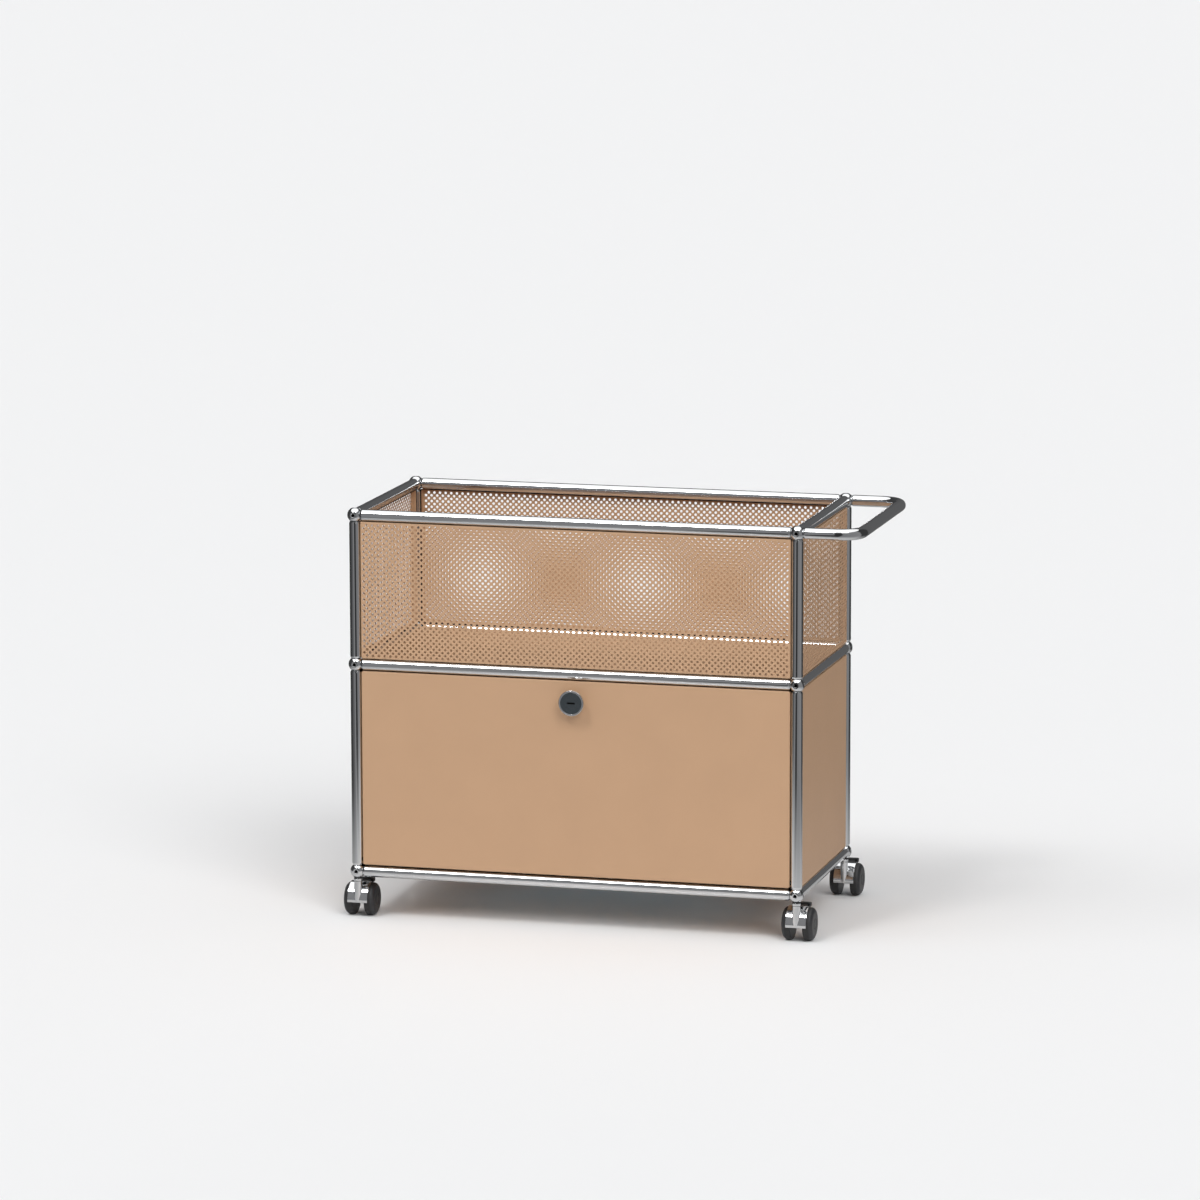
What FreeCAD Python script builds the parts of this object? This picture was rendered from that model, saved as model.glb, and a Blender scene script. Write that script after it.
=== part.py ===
import FreeCAD, Part
import os
import re

import Sketcher
from FreeCAD import Placement, Rotation, Vector

# A two-bay trolley of chromed tubes and ball connectors on four twin-wheel castors.
# The lower bay is a cabinet with a drop-down door and a lock, the upper bay is an open-topped
# record tray with perforated sides, and a push handle stands out at the right end.
# Frame: +Z up, the front faces -Y, the origin lies on the floor at the middle of the outline.
# Sizes are in millimetres and degrees. Local frames are described beside each piece.

doc = FreeCAD.newDocument("record_trolley")
sheet = doc.addObject("Spreadsheet::Sheet", "sizes")

SIZES = (
    # Frame grid, ball centre to ball centre
    ("bay_width", 750, "post to post along the front"),
    ("bay_depth", 350, "front post to rear post"),
    ("lower_bay_height", 350, "cabinet bay"),
    ("upper_bay_height", 250, "record tray bay"),
    # Tubes
    ("tube_diameter", 19, "outside of every frame tube"),
    ("tube_wall", 1, "wall of every frame tube"),
    ("neck_diameter", 16.6, "outside of a tube at its drawn-in end"),
    ("neck_length", 3, "length of the drawn-in end"),
    ("tube_setback", 10.6, "ball centre to the end of a tube"),
    # Ball connectors
    ("ball_diameter", 25, "ball connector"),
    ("flat_distance", 11.5, "ball centre to each of its six flats"),
    ("thread_diameter", 6, "hole in a flat around a screw or a castor stud"),
    ("tap_diameter", 5, "open threaded hole in a flat, at the core of its thread"),
    # Connector screws
    ("screw_diameter", 5.8, "shank in the ball's hole"),
    ("screw_reach", 5.5, "flat to the end of the shank"),
    ("plug_length", 8.4, "plug inside the tube, past the drawn-in end"),
    ("fit_gap", 0.1, "gap between pieces that are pushed together"),
    # Handle
    ("handle_reach", 100, "post axis to the axis of the cross tube"),
    ("handle_bend", 38, "bend radius of the handle's axis"),
    # Panels
    ("sheet_metal", 0.75, "sheet of the door and of the plain panels"),
    ("perforated_sheet", 0.5, "sheet of the four panels around the record tray"),
    ("grid_window", 31.5, "each window of a plain grid as open as the fine perforation"),
    ("panel_gap", 0.7, "tube to the edge of a panel"),
    ("panel_flange", 8, "depth of a panel with its turned-in flange"),
    ("panel_offset", 5, "tube axis plane to a panel's outer face"),
    ("panel_corner", 2, "corner radius of a panel"),
    ("strip_depth", 5, "depth of a snap strip"),
    ("strip_offset", 1, "tube axis plane to the outer edge of a snap strip"),
    # Door
    ("door_side_gap", 1, "tube to the side of the door"),
    ("door_bottom_gap", 2.4, "bottom rail to the door"),
    ("door_top_gap", 1, "middle rail to the door"),
    ("door_offset", 6, "tube axis plane to the door's outer face"),
    ("door_depth", 18, "thickness of the door"),
    ("door_corner", 3.5, "corner radius of the door"),
    ("hinge_rise", 8, "lower edge of the door to the hinge axis"),
    ("hinge_pin_diameter", 4, "hinge pin"),
    ("bush_diameter", 6.4, "outside of a hinge bush"),
    ("bush_length", 9, "length of a hinge bush"),
    ("bush_collar_diameter", 8.4, "collar of a hinge bush beside the post"),
    ("bush_collar", 0.6, "thickness of that collar"),
    ("running_gap", 0.05, "radial gap between a shaft and its bore"),
    # Lock
    ("lock_drop", 44.4, "middle rail axis down to the lock axis"),
    ("knob_diameter", 42.5, "steel ring of the knob"),
    ("knob_face_diameter", 36, "dark turning face inside the ring"),
    ("knob_projection", 18, "door face to the front of the knob"),
    ("knob_rim", 5, "depth of the knob's full-diameter rim"),
    ("knob_taper", 5, "depth of the cone behind the rim"),
    ("knob_neck_diameter", 27, "neck behind the cone"),
    ("knob_recess", 4, "depth of the recess that holds the face"),
    ("knob_face_setback", 0.4, "ring front to the turning face"),
    ("barrel_diameter", 22, "threaded barrel through the door"),
    ("barrel_reach", 12, "door face to the end of the barrel"),
    ("nut_diameter", 30, "nut behind the door sheet"),
    ("nut_thickness", 4, "thickness of that nut"),
    ("cylinder_diameter", 12, "shaft of the lock cylinder"),
    ("tail_diameter", 16, "disc at the rear end of the cylinder"),
    ("tail_thickness", 1.2, "thickness of that disc"),
    ("tail_gap", 0.3, "barrel end to the disc"),
    ("crank_radius", 6, "cylinder axis to the crank pin, and the bolt's travel"),
    ("crank_pin_diameter", 3, "crank pin in the bolt's slot"),
    ("crank_pin_length", 3, "length of the crank pin"),
    ("key_slot_width", 13.5, "key slot, along X"),
    ("key_slot_height", 3, "key slot, along Z"),
    ("key_slot_depth", 2.5, "depth of the key slot"),
    ("bolt_width", 24, "lock bolt, along X"),
    ("bolt_thickness", 2.5, "lock bolt, along Y"),
    ("bolt_back_gap", 0.2, "lock bolt to the liner behind it"),
    ("bolt_tail", 8, "lock axis to the bolt's lower end"),
    ("bolt_recess", 1.5, "top of the door to the bolt's upper end"),
    ("bolt_guide_gap", 0.3, "bolt to the guide slot around it"),
    ("bolt_slot_play", 0.4, "crank pin to the bolt's slot"),
    ("bolt_slot_lead", 1.3, "room above the pin where it runs ahead of the bolt"),
    # Castors: floor to the flat under the ball, wheels, hood and brake pedal
    ("castor_height", 68, "floor to the flat under the ball"),
    ("wheel_diameter", 55, "castor wheel"),
    ("wheel_width", 16.3, "castor wheel"),
    ("wheel_gap", 20, "between the two wheels of a castor"),
    ("wheel_trail", 23.5, "stem axis to the axle, toward the rear"),
    ("wheel_shoulder", 8.5, "rounding of a wheel's outer edge"),
    ("wheel_inner_rounding", 2, "rounding of a wheel's inner edge"),
    ("axle_diameter", 6, "castor axle"),
    ("axle_cover", 1.5, "wall of a wheel over the end of its bore"),
    ("axle_play", 0.5, "end of the axle to the end of the wheel's bore"),
    ("washer_thickness", 1.5, "dark washer under the ball"),
    ("washer_diameter", 13.6, "dark washer under the ball"),
    ("collar_diameter", 14.3, "collar of the castor stud"),
    ("collar_height", 4, "collar of the castor stud"),
    ("swivel_gap", 0.3, "collar to the top of the turning stem"),
    ("swivel_pin_diameter", 6, "pin that the stem turns on"),
    ("swivel_pin_length", 18, "collar to the end of that pin"),
    ("stem_diameter", 13, "turning stem"),
    ("stem_length", 24, "length of the upright stem"),
    ("stem_lean", 2, "lean of the front rib below the stem, in degrees"),
    ("rib_length", 35, "front rib along its lean"),
    ("hood_width", 34.5, "hood over the wheels"),
    ("hood_gap", 1.2, "wheel tread to the hood"),
    ("hood_wall", 1.8, "thickness of the hood"),
    ("hood_front_angle", 183, "front edge of the hood, from the rear over the top"),
    ("hood_rear_angle", 95, "rear edge of the hood"),
    ("web_width", 13.4, "web between the wheels"),
    ("web_rear_angle", 60, "rear edge of the web"),
    ("web_rear_radius", 24, "axle to the top of the web behind the hood"),
    ("hub_diameter", 18, "hub of the hood around the axle"),
    ("hub_side_gap", 1, "hub to the wheel beside it"),
    ("pedal_pivot_angle", 80, "pedal pivot about the axle, from the rear"),
    ("pedal_pivot_radius", 19, "axle to the pedal pivot"),
    ("pedal_pin_diameter", 4, "pivot pin of the pedal"),
    ("pedal_width", 28, "head of the pedal"),
    ("pedal_head_start", 18.5, "axle to the near side of the head, along Y"),
    ("pedal_head_length", 11, "head of the pedal, along Y"),
    ("pedal_head_thickness", 7, "head of the pedal"),
    ("pedal_top", 58, "floor to the top of the head"),
    ("pedal_head_rounding", 1.5, "edges of the head"),
    ("pedal_arm_thickness", 4, "arm between the cheeks and the head"),
    ("pedal_arm_drop", 2, "top of the head to the top of the arm"),
    ("pedal_arm_start", -1.2, "axle to the near end of the arm, along Y"),
    ("cheek_gap", 0.3, "web to the pedal's cheeks"),
    ("cheek_width", 2.4, "each cheek of the pedal"),
    ("cheek_length", 9, "each cheek, along Y"),
    ("overrun", 1, "how far a cutting tool runs past what it cuts"),
)

PLACES = (
    ("castor_half_width", "wheel_gap / 2 + wheel_width"),
    ("overall_width", "castor_half_width + bay_width + handle_reach + tube_diameter / 2"),
    ("left_x", "castor_half_width - overall_width / 2"),
    ("right_x", "left_x + bay_width"),
    ("middle_x", "left_x + bay_width / 2"),
    ("knob_reach", "door_offset + knob_projection"),
    ("pedal_reach", "wheel_trail + pedal_head_start + pedal_head_length"),
    ("overall_depth", "knob_reach + bay_depth + pedal_reach"),
    ("front_y", "knob_reach - overall_depth / 2"),
    ("rear_y", "front_y + bay_depth"),
    ("low_z", "castor_height + flat_distance"),
    ("mid_z", "low_z + lower_bay_height"),
    ("top_z", "mid_z + upper_bay_height"),
    ("tube_radius", "tube_diameter / 2"),
    ("bore_radius", "tube_diameter / 2 - tube_wall"),
    ("neck_radius", "neck_diameter / 2"),
    ("neck_bore_radius", "neck_diameter / 2 - tube_wall"),
    ("panel_inset", "tube_radius + panel_gap"),
    ("strip_inset", "tube_radius + fit_gap"),
    ("strip_wall", "panel_gap - 2 * fit_gap"),
    ("handle_straight", "handle_reach - handle_bend"),
    ("door_left_x", "left_x + tube_radius + door_side_gap"),
    ("door_width", "bay_width - tube_diameter - 2 * door_side_gap"),
    ("door_low_z", "low_z + tube_radius + door_bottom_gap"),
    ("door_height", "lower_bay_height - tube_diameter - door_bottom_gap - door_top_gap"),
    ("door_face_y", "front_y - door_offset"),
    ("door_back_y", "door_face_y + door_depth"),
    ("hinge_z", "door_low_z + hinge_rise"),
    ("lock_z", "mid_z - lock_drop"),
    ("knob_front_y", "door_face_y - knob_projection"),
    ("barrel_end_y", "door_face_y + barrel_reach"),
    ("bolt_y", "door_back_y - sheet_metal - bolt_back_gap - bolt_thickness"),
    ("bolt_top_z", "door_low_z + door_height - bolt_recess"),
    ("axle_z", "wheel_diameter / 2"),
    ("collar_top_z", "castor_height - washer_thickness"),
    ("stem_top_z", "collar_top_z - collar_height - swivel_gap"),
    ("hood_inner_radius", "wheel_diameter / 2 + hood_gap"),
    ("hood_outer_radius", "hood_inner_radius + hood_wall"),
    ("pedal_pivot_y", "wheel_trail + pedal_pivot_radius * cos(pedal_pivot_angle * 1 deg)"),
    ("pedal_pivot_z", "axle_z + pedal_pivot_radius * sin(pedal_pivot_angle * 1 deg)"),
    ("cheek_outer", "web_width / 2 + cheek_gap + cheek_width"),
)

for row, (alias, number, meaning) in enumerate(SIZES, start=1):
    sheet.set(f"A{row}", alias)
    sheet.set(f"B{row}", str(number))
    sheet.set(f"C{row}", meaning)
    sheet.setAlias(f"B{row}", alias)
for row, (alias, formula) in enumerate(PLACES, start=len(SIZES) + 2):
    sheet.set(f"A{row}", alias)
    sheet.set(f"B{row}", "=" + formula)
    sheet.setAlias(f"B{row}", alias)
doc.recompute()

WORDS = re.compile(r"\b(" + "|".join(entry[0] for entry in SIZES + PLACES) + r")\b")

AXES = {
    "X": Rotation(Vector(0, 1, 0), 90),
    "-X": Rotation(Vector(0, 1, 0), -90),
    "Y": Rotation(Vector(1, 0, 0), -90),
    "-Y": Rotation(Vector(1, 0, 0), 90),
    "Z": Rotation(),
    "-Z": Rotation(Vector(1, 0, 0), 180),
}

pieces = []


def of(formula):
    """The formula with each named size read from the sheet."""
    return WORDS.sub(r"sizes.\1", formula)


def value(formula):
    """The number that a formula gives now."""
    return float(sheet.evalExpression(of(formula)))


def bind(thing, **formulas):
    for name, formula in formulas.items():
        thing.setExpression(name, of(formula))


def place(thing, at, rotation=Rotation()):
    """Sets a piece at three formulas, turned by a rotation."""
    thing.Placement = Placement(Vector(*(value(formula) for formula in at)), rotation)
    for letter, formula in zip("xyz", at):
        thing.setExpression("Placement.Base." + letter, of(formula))
    return thing


def keep(thing, label):
    """Takes an object as a sub-part, under the label that names its file."""
    thing.Label = label
    pieces.append(thing)
    return thing


def cylinder(radius, length, at, axis="Z"):
    rod = doc.addObject("Part::Cylinder", "rod")
    bind(rod, Radius=radius, Height=length)
    return place(rod, at, AXES[axis])


def cone(near_radius, far_radius, length, at, axis):
    taper = doc.addObject("Part::Cone", "taper")
    bind(taper, Radius1=near_radius, Radius2=far_radius, Height=length)
    return place(taper, at, AXES[axis])


def block(length, width, height, at):
    solid = doc.addObject("Part::Box", "block")
    bind(solid, Length=length, Width=width, Height=height)
    return place(solid, at)


def fuse(*solids):
    union = doc.addObject("Part::MultiFuse", "union")
    union.Shapes = list(solids)
    return union


def group(*solids):
    several = doc.addObject("Part::Compound", "several")
    several.Links = list(solids)
    return several


def cut(solid, *tools):
    result = doc.addObject("Part::Cut", "cut_piece")
    result.Base = solid
    result.Tool = tools[0] if len(tools) == 1 else fuse(*tools)
    return result


def outline(body, role, points):
    """A closed sketch on one of the body's own planes, each point a pair of formulas."""
    sketch = body.newObject("Sketcher::SketchObject", "outline")
    plane = next(item for item in body.Origin.OriginFeatures if item.Role == role)
    sketch.AttachmentSupport = [(plane, "")]
    sketch.MapMode = "FlatFace"
    corners = [Vector(value(across), value(up), 0) for across, up in points]
    count = len(corners)
    for n in range(count):
        sketch.addGeometry(Part.LineSegment(corners[n], corners[(n + 1) % count]))
    for n in range(count):
        sketch.addConstraint(Sketcher.Constraint("Coincident", n, 2, (n + 1) % count, 1))
    for n, (across, up) in enumerate(points):
        for kind, axis_line, formula in (("DistanceX", -2, across), ("DistanceY", -1, up)):
            if formula == "0":
                sketch.addConstraint(Sketcher.Constraint("PointOnObject", n, 1, axis_line))
                continue
            rule = Sketcher.Constraint(kind, -1, 1, n, 1, value(formula))
            index = sketch.addConstraint(rule)
            sketch.setExpression(f"Constraints[{index}]", of(formula))
    return sketch


def turned(points):
    """A body turned about its own Z axis, each point a radius and a height."""
    body = doc.addObject("PartDesign::Body", "turned")
    sketch = outline(body, "XZ_Plane", points)
    feature = body.newObject("PartDesign::Revolution", "turn")
    feature.Profile = sketch
    feature.ReferenceAxis = (sketch, ["V_Axis"])
    feature.Angle = 360
    body.Tip = feature
    return body


def rounded(body, radius, picks):
    """Rounds the edges of the body's last feature that picks chooses."""
    doc.recompute()
    base = body.Tip
    names = [f"Edge{n}" for n, edge in enumerate(base.Shape.Edges, start=1) if picks(edge)]
    feature = body.newObject("PartDesign::Fillet", "rounding")
    feature.Base = (base, names)
    bind(feature, Radius=radius)
    body.Tip = feature
    return body


def upright(edge):
    """Whether an edge runs along its body's Z axis."""
    if not isinstance(edge.Curve, Part.Line):
        return False
    return abs(edge.Curve.Direction.z) > 0.99


def rectangle(left, low, width, height):
    right = f"{left} + {width}"
    top = f"{low} + {height}"
    return [(left, low), (right, low), (right, top), (left, top)]


def padded(points, depth, role="XY_Plane"):
    body = doc.addObject("PartDesign::Body", "padded")
    feature = body.newObject("PartDesign::Pad", "pad")
    feature.Profile = outline(body, role, points)
    bind(feature, Length=depth)
    body.Tip = feature
    return body


def tray(width, height, depth, corner, wall="sheet_metal"):
    """A sheet-metal tray: X and Y along its face, its open back at Z = 0."""
    outside = rounded(padded(rectangle("0", "0", width, height), depth), corner, upright)
    inner_sides = rectangle(wall, wall, f"{width} - 2 * {wall}", f"{height} - 2 * {wall}")
    inside = padded(inner_sides, f"{depth} - {wall} + overrun")
    rounded(inside, f"{corner} - {wall}", upright)
    place(inside, ("0", "0", "-overrun"))
    return cut(outside, inside)


# Which way a tray's face looks, as a turn about Z of a tray stood on its lower edge
STAND = Rotation(Vector(1, 0, 0), 90)
FACES = {
    "front": STAND,
    "right": Rotation(Vector(0, 0, 1), 90).multiply(STAND),
    "rear": Rotation(Vector(0, 0, 1), 180).multiply(STAND),
    "left": Rotation(Vector(0, 0, 1), 270).multiply(STAND),
    "up": Rotation(),
}


def taken(x, y, z):
    """The directions in which a ball holds a screw or a castor stud."""
    directions = ["X" if x == "left_x" else "-X", "Y" if y == "front_y" else "-Y", "-Z"]
    if z != "top_z":
        directions.append("Z")
    elif x == "right_x":
        directions.append("X")
    return directions


def ball(x, y, z):
    """A ball with six flats and a hole from each of them to its centre."""
    sphere = doc.addObject("Part::Sphere", "sphere")
    bind(sphere, Radius="ball_diameter / 2")
    place(sphere, (x, y, z))
    low_corner = [f"{centre} - flat_distance" for centre in (x, y, z)]
    cube = block(*(["2 * flat_distance"] * 3), low_corner)
    faceted = doc.addObject("Part::Common", "faceted")
    faceted.Base = sphere
    faceted.Tool = cube
    holes = []
    for axis in AXES:
        size = "thread_diameter" if axis in taken(x, y, z) else "tap_diameter"
        holes.append(cylinder(f"{size} / 2", "ball_diameter / 2", (x, y, z), axis))
    return cut(faceted, *holes)


POSTS = (("left_x", "front_y"), ("right_x", "front_y"), ("right_x", "rear_y"), ("left_x", "rear_y"))


def tube(start, length, axis):
    """A frame tube from one ball centre to the next, drawn in at both ends."""
    far_end = f"{length} - tube_setback"
    body = turned(
        [
            ("neck_bore_radius", "tube_setback"),
            ("neck_radius", "tube_setback"),
            ("tube_radius", "tube_setback + neck_length"),
            ("tube_radius", f"{far_end} - neck_length"),
            ("neck_radius", far_end),
            ("neck_bore_radius", far_end),
            ("bore_radius", f"{far_end} - neck_length"),
            ("bore_radius", "tube_setback + neck_length"),
        ]
    )
    return place(body, start, AXES[axis])


def connector(centre, axis):
    """The screw and plug that hold a tube's end on the ball at centre."""
    collar_end = "tube_setback + neck_length"
    body = turned(
        [
            ("0", "flat_distance - screw_reach"),
            ("screw_diameter / 2", "flat_distance - screw_reach"),
            ("screw_diameter / 2", "flat_distance"),
            ("neck_bore_radius - fit_gap", "flat_distance"),
            ("neck_bore_radius - fit_gap", collar_end),
            ("bore_radius - fit_gap", collar_end),
            ("bore_radius - fit_gap", f"{collar_end} + plug_length"),
            ("0", f"{collar_end} + plug_length"),
        ]
    )
    return place(body, centre, AXES[axis])


def make_balls():
    for level, z in (("lower", "low_z"), ("middle", "mid_z"), ("top", "top_z")):
        keep(group(*(ball(x, y, z) for x, y in POSTS)), f"{level}_ball_connectors")


def make_rails():
    for level, z in (("lower", "low_z"), ("middle", "mid_z"), ("top", "top_z")):
        for side, y in (("front", "front_y"), ("rear", "rear_y")):
            keep(tube(("left_x", y, z), "bay_width", "X"), f"{level}_{side}_rail")
        sides = [tube((x, "front_y", z), "bay_depth", "Y") for x in ("left_x", "right_x")]
        keep(group(*sides), f"{level}_side_rails")


def make_posts():
    bays = (("lower", "low_z", "lower_bay_height"), ("upper", "mid_z", "upper_bay_height"))
    for bay, z, length in bays:
        for side, y in (("front", "front_y"), ("rear", "rear_y")):
            posts = [tube((x, y, z), length, "Z") for x in ("left_x", "right_x")]
            if (bay, side) == ("lower", "front"):
                posts = [
                    cut(posts[0], pin_hole("left_x", "X")),
                    cut(posts[1], pin_hole("right_x", "-X")),
                ]
            keep(group(*posts), f"{bay}_{side}_posts")


def pin_hole(x, axis):
    """The tool for the hinge pin's hole in the inner side of a lower front post."""
    start = (x, "front_y", "hinge_z")
    return cylinder("hinge_pin_diameter / 2 + running_gap", "tube_diameter", start, axis)


def make_connectors():
    screws = []
    for z in ("low_z", "mid_z", "top_z"):
        for x, y in POSTS:
            for axis in taken(x, y, z):
                if (z, axis) != ("low_z", "-Z"):
                    screws.append(connector((x, y, z), axis))
    keep(group(*screws), "connector_screws")


def bend(y, start_angle, section):
    """A quarter bend of the handle, its centre inside the corner."""
    ring = doc.addObject("Part::Torus", "bend")
    bind(ring, Radius1="handle_bend", Radius2=section)
    ring.Angle3 = 90
    centre = ("right_x + handle_straight", y, "top_z")
    return place(ring, centre, Rotation(Vector(0, 0, 1), start_angle))


def handle_rod(section, neck_section):
    """The handle's whole run as a rod of one section, drawn in where it meets the balls."""
    straight_start = "tube_setback + neck_length"
    solids = []
    for y in ("front_y", "rear_y"):
        mouth = ("right_x + tube_setback", y, "top_z")
        solids.append(cone(neck_section, section, "neck_length", mouth, "X"))
        foot = (f"right_x + {straight_start}", y, "top_z")
        solids.append(cylinder(section, f"handle_straight - ({straight_start})", foot, "X"))
    solids.append(bend("front_y + handle_bend", -90, section))
    solids.append(bend("rear_y - handle_bend", 0, section))
    cross = ("right_x + handle_reach", "front_y + handle_bend", "top_z")
    solids.append(cylinder(section, "bay_depth - 2 * handle_bend", cross, "Y"))
    return fuse(*solids)


def make_handle():
    outside = handle_rod("tube_radius", "neck_radius")
    inside = handle_rod("bore_radius", "neck_bore_radius")
    keep(cut(outside, inside), "push_handle")


# Each panel's face, lower corner as seen from outside, width and height, without the insets
OPENINGS = {
    "cabinet_floor_panel": ("up", ("left_x", "front_y", "low_z"), "bay_width", "bay_depth"),
    "middle_shelf_panel": ("up", ("left_x", "front_y", "mid_z"), "bay_width", "bay_depth"),
    "lower_left_panel": ("left", ("left_x", "rear_y", "low_z"), "bay_depth", "lower_bay_height"),
    "lower_right_panel": ("right", ("right_x", "front_y", "low_z"), "bay_depth", "lower_bay_height"),
    "lower_rear_panel": ("rear", ("right_x", "rear_y", "low_z"), "bay_width", "lower_bay_height"),
    "upper_front_panel": ("front", ("left_x", "front_y", "mid_z"), "bay_width", "upper_bay_height"),
    "upper_left_panel": ("left", ("left_x", "rear_y", "mid_z"), "bay_depth", "upper_bay_height"),
    "upper_right_panel": ("right", ("right_x", "front_y", "mid_z"), "bay_depth", "upper_bay_height"),
    "upper_rear_panel": ("rear", ("right_x", "rear_y", "mid_z"), "bay_width", "upper_bay_height"),
}


# Columns and rows of windows in the panels around the record tray
WINDOWS = {
    "upper_front_panel": (12, 4),
    "upper_left_panel": (5, 4),
    "upper_right_panel": (5, 4),
    "upper_rear_panel": (12, 4),
}


def seated(corner, face, inset, depth, offset):
    """The place of a tray's own corner: in from the tubes, its face offset from their axes."""
    rotation = FACES[face]
    moves = (
        (rotation.multVec(Vector(1, 0, 0)), inset),
        (rotation.multVec(Vector(0, 1, 0)), inset),
        (rotation.multVec(Vector(0, 0, 1)), f"({offset} - ({depth}))"),
    )
    at = []
    for n, formula in enumerate(corner):
        for direction, amount in moves:
            step = round(direction[n])
            if step:
                formula = f"{formula} {'+' if step > 0 else '-'} {amount}"
        at.append(formula)
    return at


def window_grid(width, height, columns, rows):
    """The tools for a tray's windows, spread evenly over its face."""
    windows = []
    for column in range(columns):
        for row in range(rows):
            left = f"({width}) * {2 * column + 1} / {2 * columns} - grid_window / 2"
            low = f"({height}) * {2 * row + 1} / {2 * rows} - grid_window / 2"
            at = (left, low, "panel_flange - perforated_sheet - overrun")
            depth = "perforated_sheet + 2 * overrun"
            windows.append(block("grid_window", "grid_window", depth, at))
    return windows


def make_panels():
    for label, (face, corner, width, height) in OPENINGS.items():
        size = [f"{span} - 2 * panel_inset" for span in (width, height)]
        if label in WINDOWS:
            sheet_tray = tray(*size, "panel_flange", "panel_corner", "perforated_sheet")
            panel = cut(sheet_tray, group(*window_grid(*size, *WINDOWS[label])))
        else:
            panel = tray(*size, "panel_flange", "panel_corner")
        at = seated(corner, face, "panel_inset", "panel_flange", "panel_offset")
        place(panel, at, FACES[face])
        keep(panel, label)


def strip(face, corner, width, height):
    """A snap strip: a thin frame between a panel's edge and the tubes around it."""
    outer = rectangle("0", "0", f"{width} - 2 * strip_inset", f"{height} - 2 * strip_inset")
    clear = [f"{span} - 2 * strip_inset - 2 * strip_wall" for span in (width, height)]
    inside = padded(rectangle("strip_wall", "strip_wall", *clear), "strip_depth + 2 * overrun")
    place(inside, ("0", "0", "-overrun"))
    body = cut(padded(outer, "strip_depth"), inside)
    at = seated(corner, face, "strip_inset", "strip_depth", "strip_offset")
    return place(body, at, FACES[face])


def make_strips():
    for bay, words in (("lower", ("cabinet", "lower")), ("upper", ("middle", "upper"))):
        labels = [label for label in OPENINGS if label.split("_")[0] in words]
        keep(group(*(strip(*OPENINGS[label]) for label in labels)), f"{bay}_panel_strips")


def make_door():
    """The door: an outer tray, closed behind by a flat liner, on a bush at each lower corner."""
    shell = tray("door_width", "door_height", "door_depth", "door_corner")
    place(shell, ("door_left_x", "door_back_y", "door_low_z"), FACES["front"])
    bush_bore = cylinder(
        "bush_diameter / 2 + running_gap",
        "door_width + 2 * overrun",
        ("door_left_x - overrun", "front_y", "hinge_z"),
        "X",
    )
    barrel_bore = cylinder(
        "barrel_diameter / 2 + fit_gap",
        "sheet_metal + 2 * overrun",
        ("middle_x", "door_face_y - overrun", "lock_z"),
        "Y",
    )
    bolt_guide = block(
        "bolt_width + 2 * bolt_guide_gap",
        "bolt_thickness + 2 * bolt_back_gap",
        "sheet_metal + 2 * overrun",
        (
            "middle_x - bolt_width / 2 - bolt_guide_gap",
            "bolt_y - bolt_back_gap",
            "door_low_z + door_height - sheet_metal - overrun",
        ),
    )
    keep(cut(shell, bush_bore, barrel_bore, bolt_guide), "door_shell")

    rim = "sheet_metal + fit_gap"
    liner = padded(
        rectangle("0", "0", f"door_width - 2 * ({rim})", f"door_height - 2 * ({rim})"), "sheet_metal"
    )
    rounded(liner, "door_corner - sheet_metal / 2", upright)
    at = (f"door_left_x + {rim}", "door_back_y", f"door_low_z + {rim}")
    place(liner, at, FACES["front"])
    keep(liner, "door_liner")


def bush(x, axis):
    """A hinge bush with its collar between door and post; x is the door's side."""
    collar_end = "bush_collar"
    body = turned(
        [
            ("hinge_pin_diameter / 2 + running_gap", "-bush_length"),
            ("bush_diameter / 2", "-bush_length"),
            ("bush_diameter / 2", "0"),
            ("bush_collar_diameter / 2", "0"),
            ("bush_collar_diameter / 2", collar_end),
            ("hinge_pin_diameter / 2 + running_gap", collar_end),
        ]
    )
    return place(body, (x, "front_y", "hinge_z"), AXES[axis])


def make_hinge():
    length = "tube_wall + door_side_gap + bush_length"
    left_start = ("left_x + bore_radius", "front_y", "hinge_z")
    right_start = ("right_x - bore_radius", "front_y", "hinge_z")
    pins = (
        cylinder("hinge_pin_diameter / 2", length, left_start, "X"),
        cylinder("hinge_pin_diameter / 2", length, right_start, "-X"),
    )
    keep(group(*pins), "door_hinge_pins")
    bushes = (bush("door_left_x", "-X"), bush("door_left_x + door_width", "X"))
    keep(group(*bushes), "door_hinge_bushes")


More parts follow.
